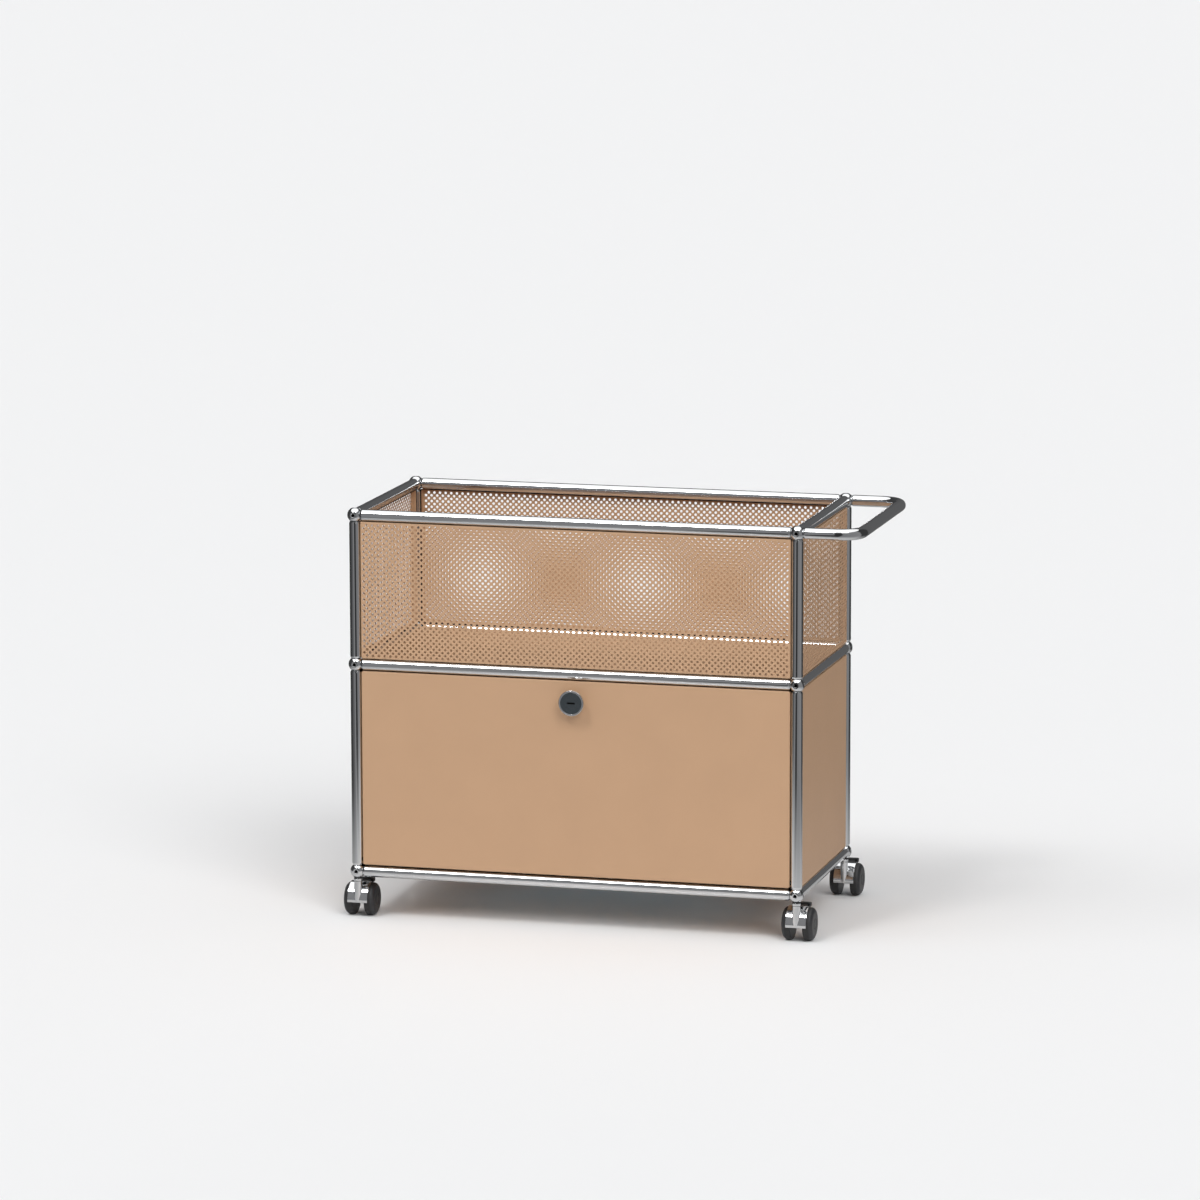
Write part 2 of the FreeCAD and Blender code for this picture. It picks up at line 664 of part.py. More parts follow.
def make_lock():
    """The lock, along Y from the front of its knob into the door."""
    axis_start = ("middle_x", "knob_front_y", "lock_z")
    shaft_bore = "cylinder_diameter / 2 + running_gap"
    face_bore = "knob_face_diameter / 2 + fit_gap"
    ring = turned(
        [
            (face_bore, "0"),
            ("knob_diameter / 2", "0"),
            ("knob_diameter / 2", "knob_rim"),
            ("knob_neck_diameter / 2", "knob_rim + knob_taper"),
            ("knob_neck_diameter / 2", "knob_projection"),
            ("barrel_diameter / 2", "knob_projection"),
            ("barrel_diameter / 2", "knob_projection + barrel_reach"),
            (shaft_bore, "knob_projection + barrel_reach"),
            (shaft_bore, "knob_recess"),
            (face_bore, "knob_recess"),
        ]
    )
    place(ring, axis_start, AXES["Y"])
    keep(ring, "lock_ring")

    nut = turned(
        [
            ("barrel_diameter / 2 + fit_gap", "0"),
            ("nut_diameter / 2", "0"),
            ("nut_diameter / 2", "nut_thickness"),
            ("barrel_diameter / 2 + fit_gap", "nut_thickness"),
        ]
    )
    place(nut, ("middle_x", "door_face_y + sheet_metal", "lock_z"), AXES["Y"])
    keep(nut, "lock_nut")

    face_back = "knob_recess - fit_gap"
    tail_start = "knob_projection + barrel_reach + tail_gap"
    tail_end = f"{tail_start} + tail_thickness"
    cylinder_body = turned(
        [
            ("0", "knob_face_setback"),
            ("knob_face_diameter / 2", "knob_face_setback"),
            ("knob_face_diameter / 2", face_back),
            ("cylinder_diameter / 2", face_back),
            ("cylinder_diameter / 2", tail_start),
            ("tail_diameter / 2", tail_start),
            ("tail_diameter / 2", tail_end),
            ("0", tail_end),
        ]
    )
    place(cylinder_body, axis_start, AXES["Y"])
    crank_start = f"knob_front_y + {tail_start}"
    crank_pin = cylinder(
        "crank_pin_diameter / 2",
        "tail_thickness + crank_pin_length",
        ("middle_x + crank_radius", crank_start, "lock_z"),
        "Y",
    )
    key_slot = block(
        "key_slot_width",
        "key_slot_depth + overrun",
        "key_slot_height",
        (
            "middle_x - key_slot_width / 2",
            "knob_front_y + knob_face_setback - overrun",
            "lock_z - key_slot_height / 2",
        ),
    )
    keep(cut(fuse(cylinder_body, crank_pin), key_slot), "lock_cylinder")

    low_z = "lock_z - bolt_tail"
    bar = block(
        "bolt_width",
        "bolt_thickness",
        f"bolt_top_z - ({low_z})",
        ("middle_x - bolt_width / 2", "bolt_y", low_z),
    )
    side_room = "crank_pin_diameter / 2 + bolt_slot_play"
    slot = block(
        f"crank_radius + 2 * ({side_room})",
        "bolt_thickness + 2 * overrun",
        f"2 * ({side_room}) + bolt_slot_lead",
        (f"middle_x - ({side_room})", "bolt_y - overrun", f"lock_z - ({side_room})"),
    )
    keep(cut(bar, slot), "lock_bolt")


def castor_stud(x, y):
    """The stud screwed into the ball, with its collar and the pin that the stem turns on."""
    body = turned(
        [
            ("0", "collar_top_z - collar_height - swivel_pin_length"),
            ("swivel_pin_diameter / 2", "collar_top_z - collar_height - swivel_pin_length"),
            ("swivel_pin_diameter / 2", "collar_top_z - collar_height"),
            ("collar_diameter / 2", "collar_top_z - collar_height"),
            ("collar_diameter / 2", "collar_top_z"),
            ("screw_diameter / 2", "collar_top_z"),
            ("screw_diameter / 2", "castor_height + screw_reach"),
            ("0", "castor_height + screw_reach"),
        ]
    )
    return place(body, (x, y, "0"))


def washer(x, y):
    body = turned(
        [
            ("thread_diameter / 2", "collar_top_z"),
            ("washer_diameter / 2", "collar_top_z"),
            ("washer_diameter / 2", "castor_height"),
            ("thread_diameter / 2", "castor_height"),
        ]
    )
    return place(body, (x, y, "0"))


def wedge(radius, length, start_angle, end_angle):
    """A sector about the axle, its angles measured from the rear over the top."""
    sector = cylinder(radius, length, (f"-({length}) / 2", "wheel_trail", "axle_z"), "X")
    bind(sector, Angle=f"{end_angle} - {start_angle}")
    own_turn = Rotation(Vector(0, 0, 1), 90 + value(start_angle))
    sector.Placement = Placement(sector.Placement.Base, AXES["X"].multiply(own_turn))
    return sector


def hood():
    """The castor's chromed body about the stem at X = Y = 0: hood, web, hub, stem and front rib."""
    cover = cut(
        wedge("hood_outer_radius", "hood_width", "hood_rear_angle", "hood_front_angle"),
        cylinder(
            "hood_inner_radius",
            "hood_width + 2 * overrun",
            ("-hood_width / 2 - overrun", "wheel_trail", "axle_z"),
            "X",
        ),
    )
    web_radius = "hood_inner_radius + hood_wall / 2"
    front_web = wedge(web_radius, "web_width", "hood_rear_angle", "hood_front_angle")
    rear_web = wedge("web_rear_radius", "web_width", "web_rear_angle", "hood_rear_angle")
    hub_length = "wheel_gap - 2 * hub_side_gap"
    hub_start = (f"-({hub_length}) / 2", "wheel_trail", "axle_z")
    hub = cylinder("hub_diameter / 2", hub_length, hub_start, "X")
    stem = cylinder("stem_diameter / 2", "stem_length", ("0", "0", "stem_top_z - stem_length"))
    rib = cylinder("stem_diameter / 2", "rib_length", ("0", "0", "stem_top_z"))
    lean = Rotation(Vector(1, 0, 0), 180 - value("stem_lean"))
    rib.Placement = Placement(rib.Placement.Base, lean)
    rib_top = cylinder("stem_diameter", "stem_diameter", ("0", "0", "stem_top_z"))
    swivel_bore = cylinder(
        "swivel_pin_diameter / 2 + running_gap",
        "swivel_pin_length + overrun",
        ("0", "0", "stem_top_z - swivel_pin_length"),
    )
    axle_bore = cylinder(
        "axle_diameter / 2 + running_gap",
        "hood_width",
        ("-hood_width / 2", "wheel_trail", "axle_z"),
        "X",
    )
    pedal_bore = cylinder(
        "pedal_pin_diameter / 2 + running_gap",
        "hood_width",
        ("-hood_width / 2", "pedal_pivot_y", "pedal_pivot_z"),
        "X",
    )
    solid = fuse(cover, front_web, rear_web, hub, stem, rib)
    return cut(solid, rib_top, swivel_bore, axle_bore, pedal_bore)


def is_rim(edge, height):
    """Whether an edge is a wheel's outermost circle at a height along its axis."""
    if not isinstance(edge.Curve, Part.Circle):
        return False
    off_radius = edge.Curve.Radius - value("wheel_diameter / 2")
    off_height = edge.Curve.Center.z - value(height)
    return round(off_radius) == 0 and round(off_height) == 0


def wheel():
    """A wheel about its own Z axis, its inner face at Z = 0."""
    bore = "axle_diameter / 2 + running_gap"
    body = turned(
        [
            (bore, "0"),
            ("wheel_diameter / 2", "0"),
            ("wheel_diameter / 2", "wheel_width"),
            ("0", "wheel_width"),
            ("0", "wheel_width - axle_cover"),
            (bore, "wheel_width - axle_cover"),
        ]
    )
    rounded(body, "wheel_shoulder", lambda edge: is_rim(edge, "wheel_width"))
    return rounded(body, "wheel_inner_rounding", lambda edge: is_rim(edge, "0"))


def pedal():
    """The brake pedal about the stem at X = Y = 0: head, arm, two cheeks and the pivot pin."""
    head_y = "wheel_trail + pedal_head_start"
    head_outline = rectangle("-pedal_width / 2", "0", "pedal_width", "pedal_head_length")
    head = padded(head_outline, "pedal_head_thickness")
    rounded(head, "pedal_head_rounding", lambda edge: True)
    place(head, ("0", head_y, "pedal_top - pedal_head_thickness"))
    arm_low = "pedal_top - pedal_arm_drop - pedal_arm_thickness"
    arm_y = "wheel_trail + pedal_arm_start"
    arm = block(
        "2 * cheek_outer",
        "pedal_head_start - pedal_arm_start + pedal_head_rounding + overrun",
        "pedal_arm_thickness",
        ("-cheek_outer", arm_y, arm_low),
    )
    cheek_low = "pedal_pivot_z - pedal_pin_diameter"
    cheeks = [
        block(
            "cheek_width",
            "cheek_length",
            f"{arm_low} + pedal_arm_thickness / 2 - ({cheek_low})",
            (x, "pedal_pivot_y - cheek_length / 2", cheek_low),
        )
        for x in ("-cheek_outer", "cheek_outer - cheek_width")
    ]
    pin = cylinder(
        "pedal_pin_diameter / 2",
        "2 * cheek_outer - cheek_width",
        ("-cheek_outer + cheek_width / 2", "pedal_pivot_y", "pedal_pivot_z"),
        "X",
    )
    return fuse(head, arm, *cheeks, pin)


def make_castors():
    keep(group(*(castor_stud(x, y) for x, y in POSTS)), "castor_studs")
    keep(group(*(washer(x, y) for x, y in POSTS)), "castor_washers")
    corners = ("front_left", "front_right", "rear_right", "rear_left")
    axle_length = "wheel_gap + 2 * (wheel_width - axle_cover - axle_play)"
    for corner, (x, y) in zip(corners, POSTS):
        keep(place(hood(), (x, y, "0")), f"{corner}_castor_hood")
        axle_at = (f"{x} - ({axle_length}) / 2", f"{y} + wheel_trail", "axle_z")
        keep(cylinder("axle_diameter / 2", axle_length, axle_at, "X"), f"{corner}_castor_axle")
        for side, step, axis in (("left", "-", "-X"), ("right", "+", "X")):
            wheel_at = (f"{x} {step} wheel_gap / 2", f"{y} + wheel_trail", "axle_z")
            keep(place(wheel(), wheel_at, AXES[axis]), f"{corner}_castor_{side}_wheel")
        keep(place(pedal(), (x, y, "0")), f"{corner}_castor_pedal")


def write_pieces():
    """Checks every object and every sub-part, then writes one file for each sub-part."""
    for thing in doc.Objects:
        failed = {"Invalid", "Error"} & set(thing.State)
        if failed:
            raise RuntimeError(f"{thing.Label} is {', '.join(sorted(failed))}")
    for thing in pieces:
        if thing.Shape.isNull() or not thing.Shape.isValid() or not thing.Shape.Solids:
            raise RuntimeError(f"{thing.Label} has no valid shape")
    os.makedirs("parts", exist_ok=True)
    for thing in pieces:
        thing.Shape.exportStep(f"parts/{thing.Label}.step")
        box = thing.Shape.BoundBox
        low = (round(box.XMin, 2), round(box.YMin, 2), round(box.ZMin, 2))
        high = (round(box.XMax, 2), round(box.YMax, 2), round(box.ZMax, 2))
        print(thing.Label, len(thing.Shape.Solids), round(thing.Shape.Volume, 1), low, high)


make_balls()
make_rails()
make_posts()
make_connectors()
make_handle()
make_panels()
make_strips()
make_door()
make_hinge()
make_lock()
make_castors()
doc.recompute()
write_pieces()
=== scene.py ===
import math

import bmesh
import bpy
from mathutils import Matrix, Vector

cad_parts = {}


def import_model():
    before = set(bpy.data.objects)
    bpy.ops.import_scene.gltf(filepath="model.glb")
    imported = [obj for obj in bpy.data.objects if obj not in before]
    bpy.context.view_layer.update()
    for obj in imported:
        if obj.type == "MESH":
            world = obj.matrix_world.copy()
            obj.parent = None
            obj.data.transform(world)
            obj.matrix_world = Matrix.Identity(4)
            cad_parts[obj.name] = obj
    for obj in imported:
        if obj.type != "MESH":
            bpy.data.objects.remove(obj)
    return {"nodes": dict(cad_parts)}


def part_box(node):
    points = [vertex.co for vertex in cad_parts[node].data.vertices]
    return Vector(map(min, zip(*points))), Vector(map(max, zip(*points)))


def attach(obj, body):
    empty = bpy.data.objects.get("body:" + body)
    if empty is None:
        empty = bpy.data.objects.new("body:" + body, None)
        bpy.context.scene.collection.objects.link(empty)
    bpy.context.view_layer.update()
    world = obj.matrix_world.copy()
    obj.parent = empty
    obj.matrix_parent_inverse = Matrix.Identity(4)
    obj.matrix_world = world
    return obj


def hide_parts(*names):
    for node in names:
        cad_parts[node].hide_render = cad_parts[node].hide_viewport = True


# A record trolley: chromed tubes and ball connectors, powder-coated sheet-steel panels, an
# open-topped tray with perforated sides, a cabinet with a drop-down door, four twin-wheel castors.
# Everything is in metres: the front faces -Y, +Z is up, the floor is Z = 0.

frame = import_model()
bpy.context.view_layer.update()

MM = 0.001

# Sizes of the frame's tubes and balls
FLAT_DISTANCE = 11.5 * MM
BALL_RADIUS = 12.5 * MM
BALL_HOLE_RADIUS = 2.9 * MM
BALL_HOLE_END = 3.1 * MM
BALL_CHAMFER = 0.35 * MM
TUBE_RADIUS = 9.5 * MM
TUBE_WALL = 1 * MM
NECK_RADIUS = 8.3 * MM
NECK_LENGTH = 3 * MM
NECK_SHOULDER = 1.6 * MM
TUBE_SETBACK = 10.6 * MM
HANDLE_BEND = 38 * MM

# How the handle's ends open: shares of the neck's length, and of the step from neck to tube
HANDLE_FLARE_SHARES = ((0.6, 0.62), (0.8, 0.82), (1, 0.95), (1.3, 1))

# Roundings of turned, bent and moulded edges
FINE_EDGE = 0.2 * MM
EDGE = 0.3 * MM
SOFT_EDGE = 0.4 * MM
ROUND_EDGE = 0.5 * MM
KEEN_CORNER = 0.02 * MM

# Sides of turned shapes
SIDES = 64
LARGE_SIDES = 96
SMALL_SIDES = 48
PIN_SIDES = 32

# Sheet metal
SHEET = 0.75 * MM
PERFORATED_SHEET = 0.35 * MM
BEND_RADIUS = 1.8 * MM
PANEL_CORNER = 2 * MM
DOOR_CORNER = 3.5 * MM
FACE_GUARD = 0.4 * MM
CORNER_PARTS = 6
BEND_PARTS = 6

# Perforation: round holes at every second crossing of a grid, wider on the inner side
HOLE_RADIUS = 2.25 * MM
HOLE_FLARE = 0.25 * MM
HOLE_MARGIN = 5.8 * MM
HOLE_LAND = 3.4 * MM
HOLE_STEP = 4.97 * MM
HOLE_SIDES = 12

# Lock, from the front of its knob
KNOB_RIM = 5 * MM
KNOB_CONE_END = 10 * MM
KNOB_PROJECTION = 18 * MM
KNOB_NECK_RADIUS = 13.5 * MM
KNOB_RECESS = 4 * MM
KNOB_RIM_ROUNDING = 0.9 * MM
KNOB_BACK_ROUNDING = 0.8 * MM
KNOB_NECK_ROUNDING = 1 * MM
FACE_RADIUS = 18 * MM
FACE_SETBACK = 0.4 * MM
BARREL_RADIUS = 11 * MM
BARREL_LENGTH = 12 * MM
SHAFT_RADIUS = 6 * MM
TAIL_RADIUS = 8 * MM
TAIL_START = 30.3 * MM
TAIL_END = 31.5 * MM
CRANK_RADIUS = 6 * MM
CRANK_PIN_RADIUS = 1.5 * MM
CRANK_PIN_END = 34.5 * MM
KEY_SLOT_WIDTH = 13.5 * MM
KEY_SLOT_HEIGHT = 3 * MM
KEY_SLOT_DEPTH = 2.5 * MM
FIT_GAP = 0.1 * MM
RUNNING_GAP = 0.05 * MM
BUSH_RADIUS = 3.2 * MM
GUIDE_GAP = 0.3 * MM
OVERRUN = 3 * MM

# Castors
WHEEL_RADIUS = 27.5 * MM
WHEEL_SHOULDER = 8.5 * MM
WHEEL_INNER_ROUNDING = 2 * MM
WHEEL_RECESS = 6 * MM
TREAD_DEPTH = 0.4 * MM
CAP_RADIUS = 10 * MM
CAP_GROOVE = 0.5 * MM
CAP_GROOVE_WIDTH = 1 * MM
WHEEL_COVER = 1.5 * MM
WHEEL_TRAIL = 23.5 * MM
AXLE_RADIUS = 3 * MM
HUB_RADIUS = 9 * MM
HUB_LENGTH = 18 * MM
HOOD_INNER = 28.7 * MM
HOOD_OUTER = 30.5 * MM
HOOD_WIDTH = 34.5 * MM
HOOD_ANGLES = (95, 183)
HOOD_STEP = 4
HOOD_EDGE = 0.35 * MM
HOOD_GUARD = 0.1 * MM
WEB_RADIUS = 29.6 * MM
WEB_WIDTH = 13.4 * MM
REAR_WEB_RADIUS = 24 * MM
REAR_WEB_ANGLE = 60
WEB_STEP = 5
STEM_RADIUS = 6.5 * MM
STEM_LENGTH = 24 * MM
RIB_START = 4 * MM
RIB_LENGTH = 35 * MM
RIB_LEAN = 2
SWIVEL_PIN_RADIUS = 3 * MM
SWIVEL_PIN_LENGTH = 18 * MM
COLLAR_RADIUS = 7.15 * MM
COLLAR_HEIGHT = 4 * MM
WASHER_RADIUS = 6.8 * MM
WASHER_THICKNESS = 1.5 * MM
STUD_RADIUS = 2.9 * MM
STUD_REACH = 5.5 * MM

# How a hood's ends are rounded: degrees in from the end, and how far the section is drawn in
HOOD_END = ((0, 0.5 * MM), (0.3, 0.15 * MM), (1, 0))

# Grid of the frame, read from the ball connectors
balls_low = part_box("lower_ball_connectors")
balls_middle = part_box("middle_ball_connectors")
balls_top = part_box("top_ball_connectors")
LEFT = balls_low[0].x + FLAT_DISTANCE
RIGHT = balls_low[1].x - FLAT_DISTANCE
FRONT = balls_low[0].y + FLAT_DISTANCE
REAR = balls_low[1].y - FLAT_DISTANCE
LOW = balls_low[0].z + FLAT_DISTANCE
MIDDLE = balls_middle[0].z + FLAT_DISTANCE
TOP = balls_top[0].z + FLAT_DISTANCE
CORNERS = ((LEFT, FRONT), (RIGHT, FRONT), (RIGHT, REAR), (LEFT, REAR))
CORNER_NAMES = ("front_left", "front_right", "rear_right", "rear_left")
LEVELS = (("lower", LOW), ("middle", MIDDLE), ("top", TOP))


def srgb(red, green, blue):
    """A colour given as 0 to 255 on screen, as the linear values that shaders take."""
    linear = []
    for part in (red, green, blue):
        share = part / 255
        linear.append(share / 12.92 if share <= 0.04045 else ((share + 0.055) / 1.055) ** 2.4)
    return (*linear, 1)


# Materials

# The middle of a noise's range, where nearly all of it lies
NOISE_MIDDLE = (0.3, 0.7)


def set_range(node, limits, values):
    """Gives a map range node its limits and the values at them."""
    sockets = ("From Min", "From Max", "To Min", "To Max")
    for socket, value in zip(sockets, (*limits, *values)):
        node.inputs[socket].default_value = value


class Finish:
    """A material built from a Principled shader, with textures in the piece's own metres."""

    def __init__(self, name, colour, roughness, metallic=0):
        self.material = bpy.data.materials.new(name)
        self.material.use_nodes = True
        self.tree = self.material.node_tree
        self.shader = self.tree.nodes["Principled BSDF"]
        self.shader.inputs["Base Color"].default_value = colour
        self.shader.inputs["Roughness"].default_value = roughness
        self.shader.inputs["Metallic"].default_value = metallic
        self.place = self.tree.nodes.new("ShaderNodeTexCoord").outputs["Object"]
        self.last_bump = None

    def link(self, output, target):
        self.tree.links.new(output, target)

    def stretched(self, scale):
        """The piece's own coordinates, scaled along each axis."""
        mapping = self.tree.nodes.new("ShaderNodeMapping")
        mapping.inputs["Scale"].default_value = scale
        self.link(self.place, mapping.inputs["Vector"])
        return mapping.outputs["Vector"]

    def noise(self, scale, detail=2, roughness=0.5, place=None):
        texture = self.tree.nodes.new("ShaderNodeTexNoise")
        texture.inputs["Scale"].default_value = scale
        texture.inputs["Detail"].default_value = detail
        texture.inputs["Roughness"].default_value = roughness
        self.link(place or self.place, texture.inputs["Vector"])
        return texture.outputs["Fac"]

    def between(self, factor, low, high):
        """A number that runs from low to high as the texture runs over its middle range."""
        ramp = self.tree.nodes.new("ShaderNodeMapRange")
        set_range(ramp, NOISE_MIDDLE, (low, high))
        self.link(factor, ramp.inputs["Value"])
        return ramp.outputs["Result"]

    def vary_roughness(self, factor, low, high):
        self.link(self.between(factor, low, high), self.shader.inputs["Roughness"])

    def vary_colour(self, factor, dark, light):
        mix = self.tree.nodes.new("ShaderNodeMix")
        mix.data_type = "RGBA"
        colours = [socket for socket in mix.inputs if socket.type == "RGBA"]
        colours[0].default_value = dark
        colours[1].default_value = light
        self.link(self.between(factor, 0, 1), mix.inputs["Factor"])
        result = next(socket for socket in mix.outputs if socket.type == "RGBA")
        self.link(result, self.shader.inputs["Base Color"])

    def bump(self, height, depth, strength):
        """Adds relief of a depth in metres over what is there already."""
        bump = self.tree.nodes.new("ShaderNodeBump")
        bump.inputs["Distance"].default_value = depth
        bump.inputs["Strength"].default_value = strength
        self.link(height, bump.inputs["Height"])
        if self.last_bump:
            self.link(self.last_bump, bump.inputs["Normal"])
        self.last_bump = bump.outputs["Normal"]
        self.link(self.last_bump, self.shader.inputs["Normal"])


def scaled(colour, factor):
    return (*(part * factor for part in colour[:3]), 1)


def powder_coat():
    """Beige powder coat on steel: fine orange peel under a satin sheen."""
    colour = srgb(189, 152, 119)
    finish = Finish("beige_powder_coat", colour, 0.42)
    finish.vary_colour(finish.noise(14, 3), scaled(colour, 0.985), scaled(colour, 1.015))
    finish.vary_roughness(finish.noise(900, 2), 0.38, 0.5)
    finish.bump(finish.noise(700, 2), 0.02 * MM, 0.5)
    finish.bump(finish.noise(5200, 1), 0.004 * MM, 0.4)
    return finish.material


def chrome():
    """Bright chrome plate: a mirror with the slightest ripple of the tube below it."""
    finish = Finish("bright_chrome", (0.74, 0.75, 0.76, 1), 0.06, 1)
    finish.vary_roughness(finish.noise(160, 4), 0.045, 0.085)
    finish.bump(finish.noise(55, 1), 0.03 * MM, 0.25)
    return finish.material


def bare_steel():
    """Zinc-plated steel of pins, screws and the lock's inner parts, with fine turning marks."""
    finish = Finish("zinc_plated_steel", (0.56, 0.56, 0.54, 1), 0.3, 1)
    finish.vary_colour(finish.noise(300, 3), (0.5, 0.5, 0.49, 1), (0.6, 0.6, 0.57, 1))
    finish.vary_roughness(finish.noise(1400, 2), 0.24, 0.38)
    finish.bump(finish.noise(2600, 2, place=finish.stretched((1, 1, 5))), 0.01 * MM, 0.4)
    return finish.material


def moulded_black():
    """Black moulded plastic with a fine spark-eroded grain."""
    finish = Finish("black_moulded_plastic", srgb(24, 24, 25), 0.5)
    finish.vary_colour(finish.noise(260, 3), srgb(20, 20, 21), srgb(28, 28, 29))
    finish.vary_roughness(finish.noise(3000, 2), 0.42, 0.58)
    finish.bump(finish.noise(2600, 2), 0.02 * MM, 0.5)
    return finish.material


def wheel_plastic():
    """Dark grey wheel bodies, smooth with a soft sheen."""
    finish = Finish("wheel_body_plastic", srgb(43, 43, 45), 0.42)
    finish.vary_colour(finish.noise(180, 3), srgb(40, 40, 42), srgb(47, 47, 49))
    finish.vary_roughness(finish.noise(1200, 3), 0.36, 0.5)
    finish.bump(finish.noise(2200, 2), 0.012 * MM, 0.5)
    return finish.material


def wheel_tread():
    """The soft tread: duller than the body, and scuffed a little by the floor."""
    finish = Finish("wheel_tread_rubber", srgb(34, 34, 35), 0.62)
    finish.vary_colour(finish.noise(420, 4, 0.6), srgb(30, 30, 31), srgb(40, 39, 39))
    finish.vary_roughness(finish.noise(900, 3), 0.52, 0.72)
    finish.bump(finish.noise(1500, 3, 0.6), 0.03 * MM, 0.6)
    return finish.material


def painted_hole_shade_finish():
    """Painted shade on the thread inside a ball's hole and on the walls of the lock's key slot: a
    near-black finish that stands for the shade in these recesses.
    """
    finish = Finish("painted_hole_shade", srgb(22, 22, 23), 0.6, 0.6)
    finish.vary_colour(finish.noise(900, 2), srgb(14, 14, 15), srgb(30, 30, 31))
    finish.vary_roughness(finish.noise(1500, 2), 0.5, 0.7)
    finish.bump(finish.noise(2500, 2), 0.02 * MM, 0.5)
    return finish.material


def lock_face():
    """The lock's turning face: slate-dark anodised metal with a fine turned grain."""
    finish = Finish("slate_lock_face", srgb(62, 68, 72), 0.34, 0.35)
    finish.vary_colour(finish.noise(500, 3), srgb(57, 63, 66), srgb(66, 72, 77))
    finish.vary_roughness(finish.noise(1800, 2), 0.28, 0.42)
    finish.bump(finish.noise(3000, 2), 0.008 * MM, 0.5)
    return finish.material


FINISHES = {
    "panel_paint": powder_coat(),
    "chrome": chrome(),
    "steel": bare_steel(),
    "black_plastic": moulded_black(),
    "wheel_plastic": wheel_plastic(),
    "lock_face": lock_face(),
}
TREAD = wheel_tread()
# Painted shade for the insides of the balls' holes and of the lock's key slot
PAINTED_HOLE_SHADE = painted_hole_shade_finish()


# Mesh building

WELD = 0.0005 * MM
ON_AXIS = 1e-9


def full_turn(parts):
    """Angles in equal steps, once round."""
    return [2 * math.pi * n / parts for n in range(parts)]


class Shape:
    """Points and faces of one mesh, each face with the number of its finish."""

    def __init__(self):
        self.points = []
        self.faces = []
        self.finishes = []

    def add(self, points):
        start = len(self.points)
        self.points.extend(points)
        return list(range(start, len(self.points)))

    def face(self, corners, finish=0):
        self.faces.append(tuple(corners))
        self.finishes.append(finish)

    def bridge(self, near, far, finish=0):
        """Faces between two closed rings, either of which may be a single point."""
        count = max(len(near), len(far))
        for n in range(count):
            m = (n + 1) % count
            if len(near) == 1:
                self.face((near[0], far[m], far[n]), finish)
            elif len(far) == 1:
                self.face((near[n], near[m], far[0]), finish)
            else:
                self.face((near[n], near[m], far[m], far[n]), finish)

    def skin(self, rings):
        """Faces over a row of closed rings."""
        for near, far in zip(rings, rings[1:]):
            self.bridge(near, far)


def mesh_of(name, shape, materials):
    """A closed mesh with its faces turned outward."""
    mesh = bpy.data.meshes.new(name)
    mesh.from_pydata([tuple(point) for point in shape.points], [], shape.faces)
    for material in materials:
        mesh.materials.append(material)
    mesh.polygons.foreach_set("material_index", shape.finishes)
    work = bmesh.new()
    work.from_mesh(mesh)
    bmesh.ops.remove_doubles(work, verts=work.verts, dist=WELD)
    bmesh.ops.recalc_face_normals(work, faces=work.faces)
    work.to_mesh(mesh)
    work.free()
    return mesh


def pierced(mesh, tools, materials):
    """The mesh with closed tool shapes taken out of it."""
    solid = bpy.data.objects.new("solid", mesh)
    helpers = [solid]
    for tool in tools:
        helper = bpy.data.objects.new("tool", mesh_of("tool", tool, materials))
        helpers.append(helper)
        cut = solid.modifiers.new("cut", "BOOLEAN")
        cut.operation = "DIFFERENCE"
        cut.solver = "EXACT"
        cut.object = helper
    for helper in helpers:
        bpy.context.scene.collection.objects.link(helper)
    bpy.context.view_layer.update()
    graph = bpy.context.evaluated_depsgraph_get()
    result = bpy.data.meshes.new_from_object(solid.evaluated_get(graph))
    for helper in helpers:
        bpy.data.objects.remove(helper)
    return result


def build(name, shape, slot, body, node, materials=None, sharp=32, tools=()):
    """Makes a piece from its shape, rides it on its body and puts it in the place of its node."""
    materials = materials or [FINISHES[slot]]
    mesh = mesh_of(name, shape, materials)
    if tools:
        mesh = pierced(mesh, tools, materials)
    mesh.polygons.foreach_set("use_smooth", [True] * len(mesh.polygons))
    mesh.set_sharp_from_angle(angle=math.radians(sharp))
    piece = bpy.data.objects.new(name, mesh)
    bpy.context.scene.collection.objects.link(piece)
    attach(piece, body)
    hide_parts(node)


def softened(corners, closed=False, step=12, guard=0.25 * MM):
    """A profile's corners, each (across, up, radius), with arcs and a guard point beside each."""
    count = len(corners)
    profile = []
    for n, (across, up, radius) in enumerate(corners):
        here = Vector((across, up))
        inner = closed or 0 < n < count - 1
        if not radius or not inner:
            profile.append(here)
            continue
        back = Vector(corners[n - 1][:2]) - here
        ahead = Vector(corners[(n + 1) % count][:2]) - here
        half = back.angle(ahead) / 2
        reach = radius / math.tan(half)
        start = here + back.normalized() * reach
        end = here + ahead.normalized() * reach
        middle = here + (back.normalized() + ahead.normalized()).normalized() * radius / math.sin(half)
        if back.length > reach + 3 * guard:
            profile.append(start + back.normalized() * guard)
        turn = math.pi - 2 * half
        parts = max(2, math.ceil(math.degrees(turn) / step))
        first, last = start - middle, end - middle
        for k in range(parts + 1):
            share = k / parts
            spread = math.sin(turn)
            weight = (math.sin((1 - share) * turn) / spread, math.sin(share * turn) / spread)
            profile.append(middle + first * weight[0] + last * weight[1])
        if ahead.length > reach + 3 * guard:
            profile.append(end + ahead.normalized() * guard)
    return [(point.x, point.y) for point in profile]


def axis_frame(origin, direction):
    """A matrix whose Z axis lies along the direction."""
    turn = Vector(direction).to_track_quat("Z", "Y").to_matrix().to_4x4()
    return Matrix.Translation(origin) @ turn


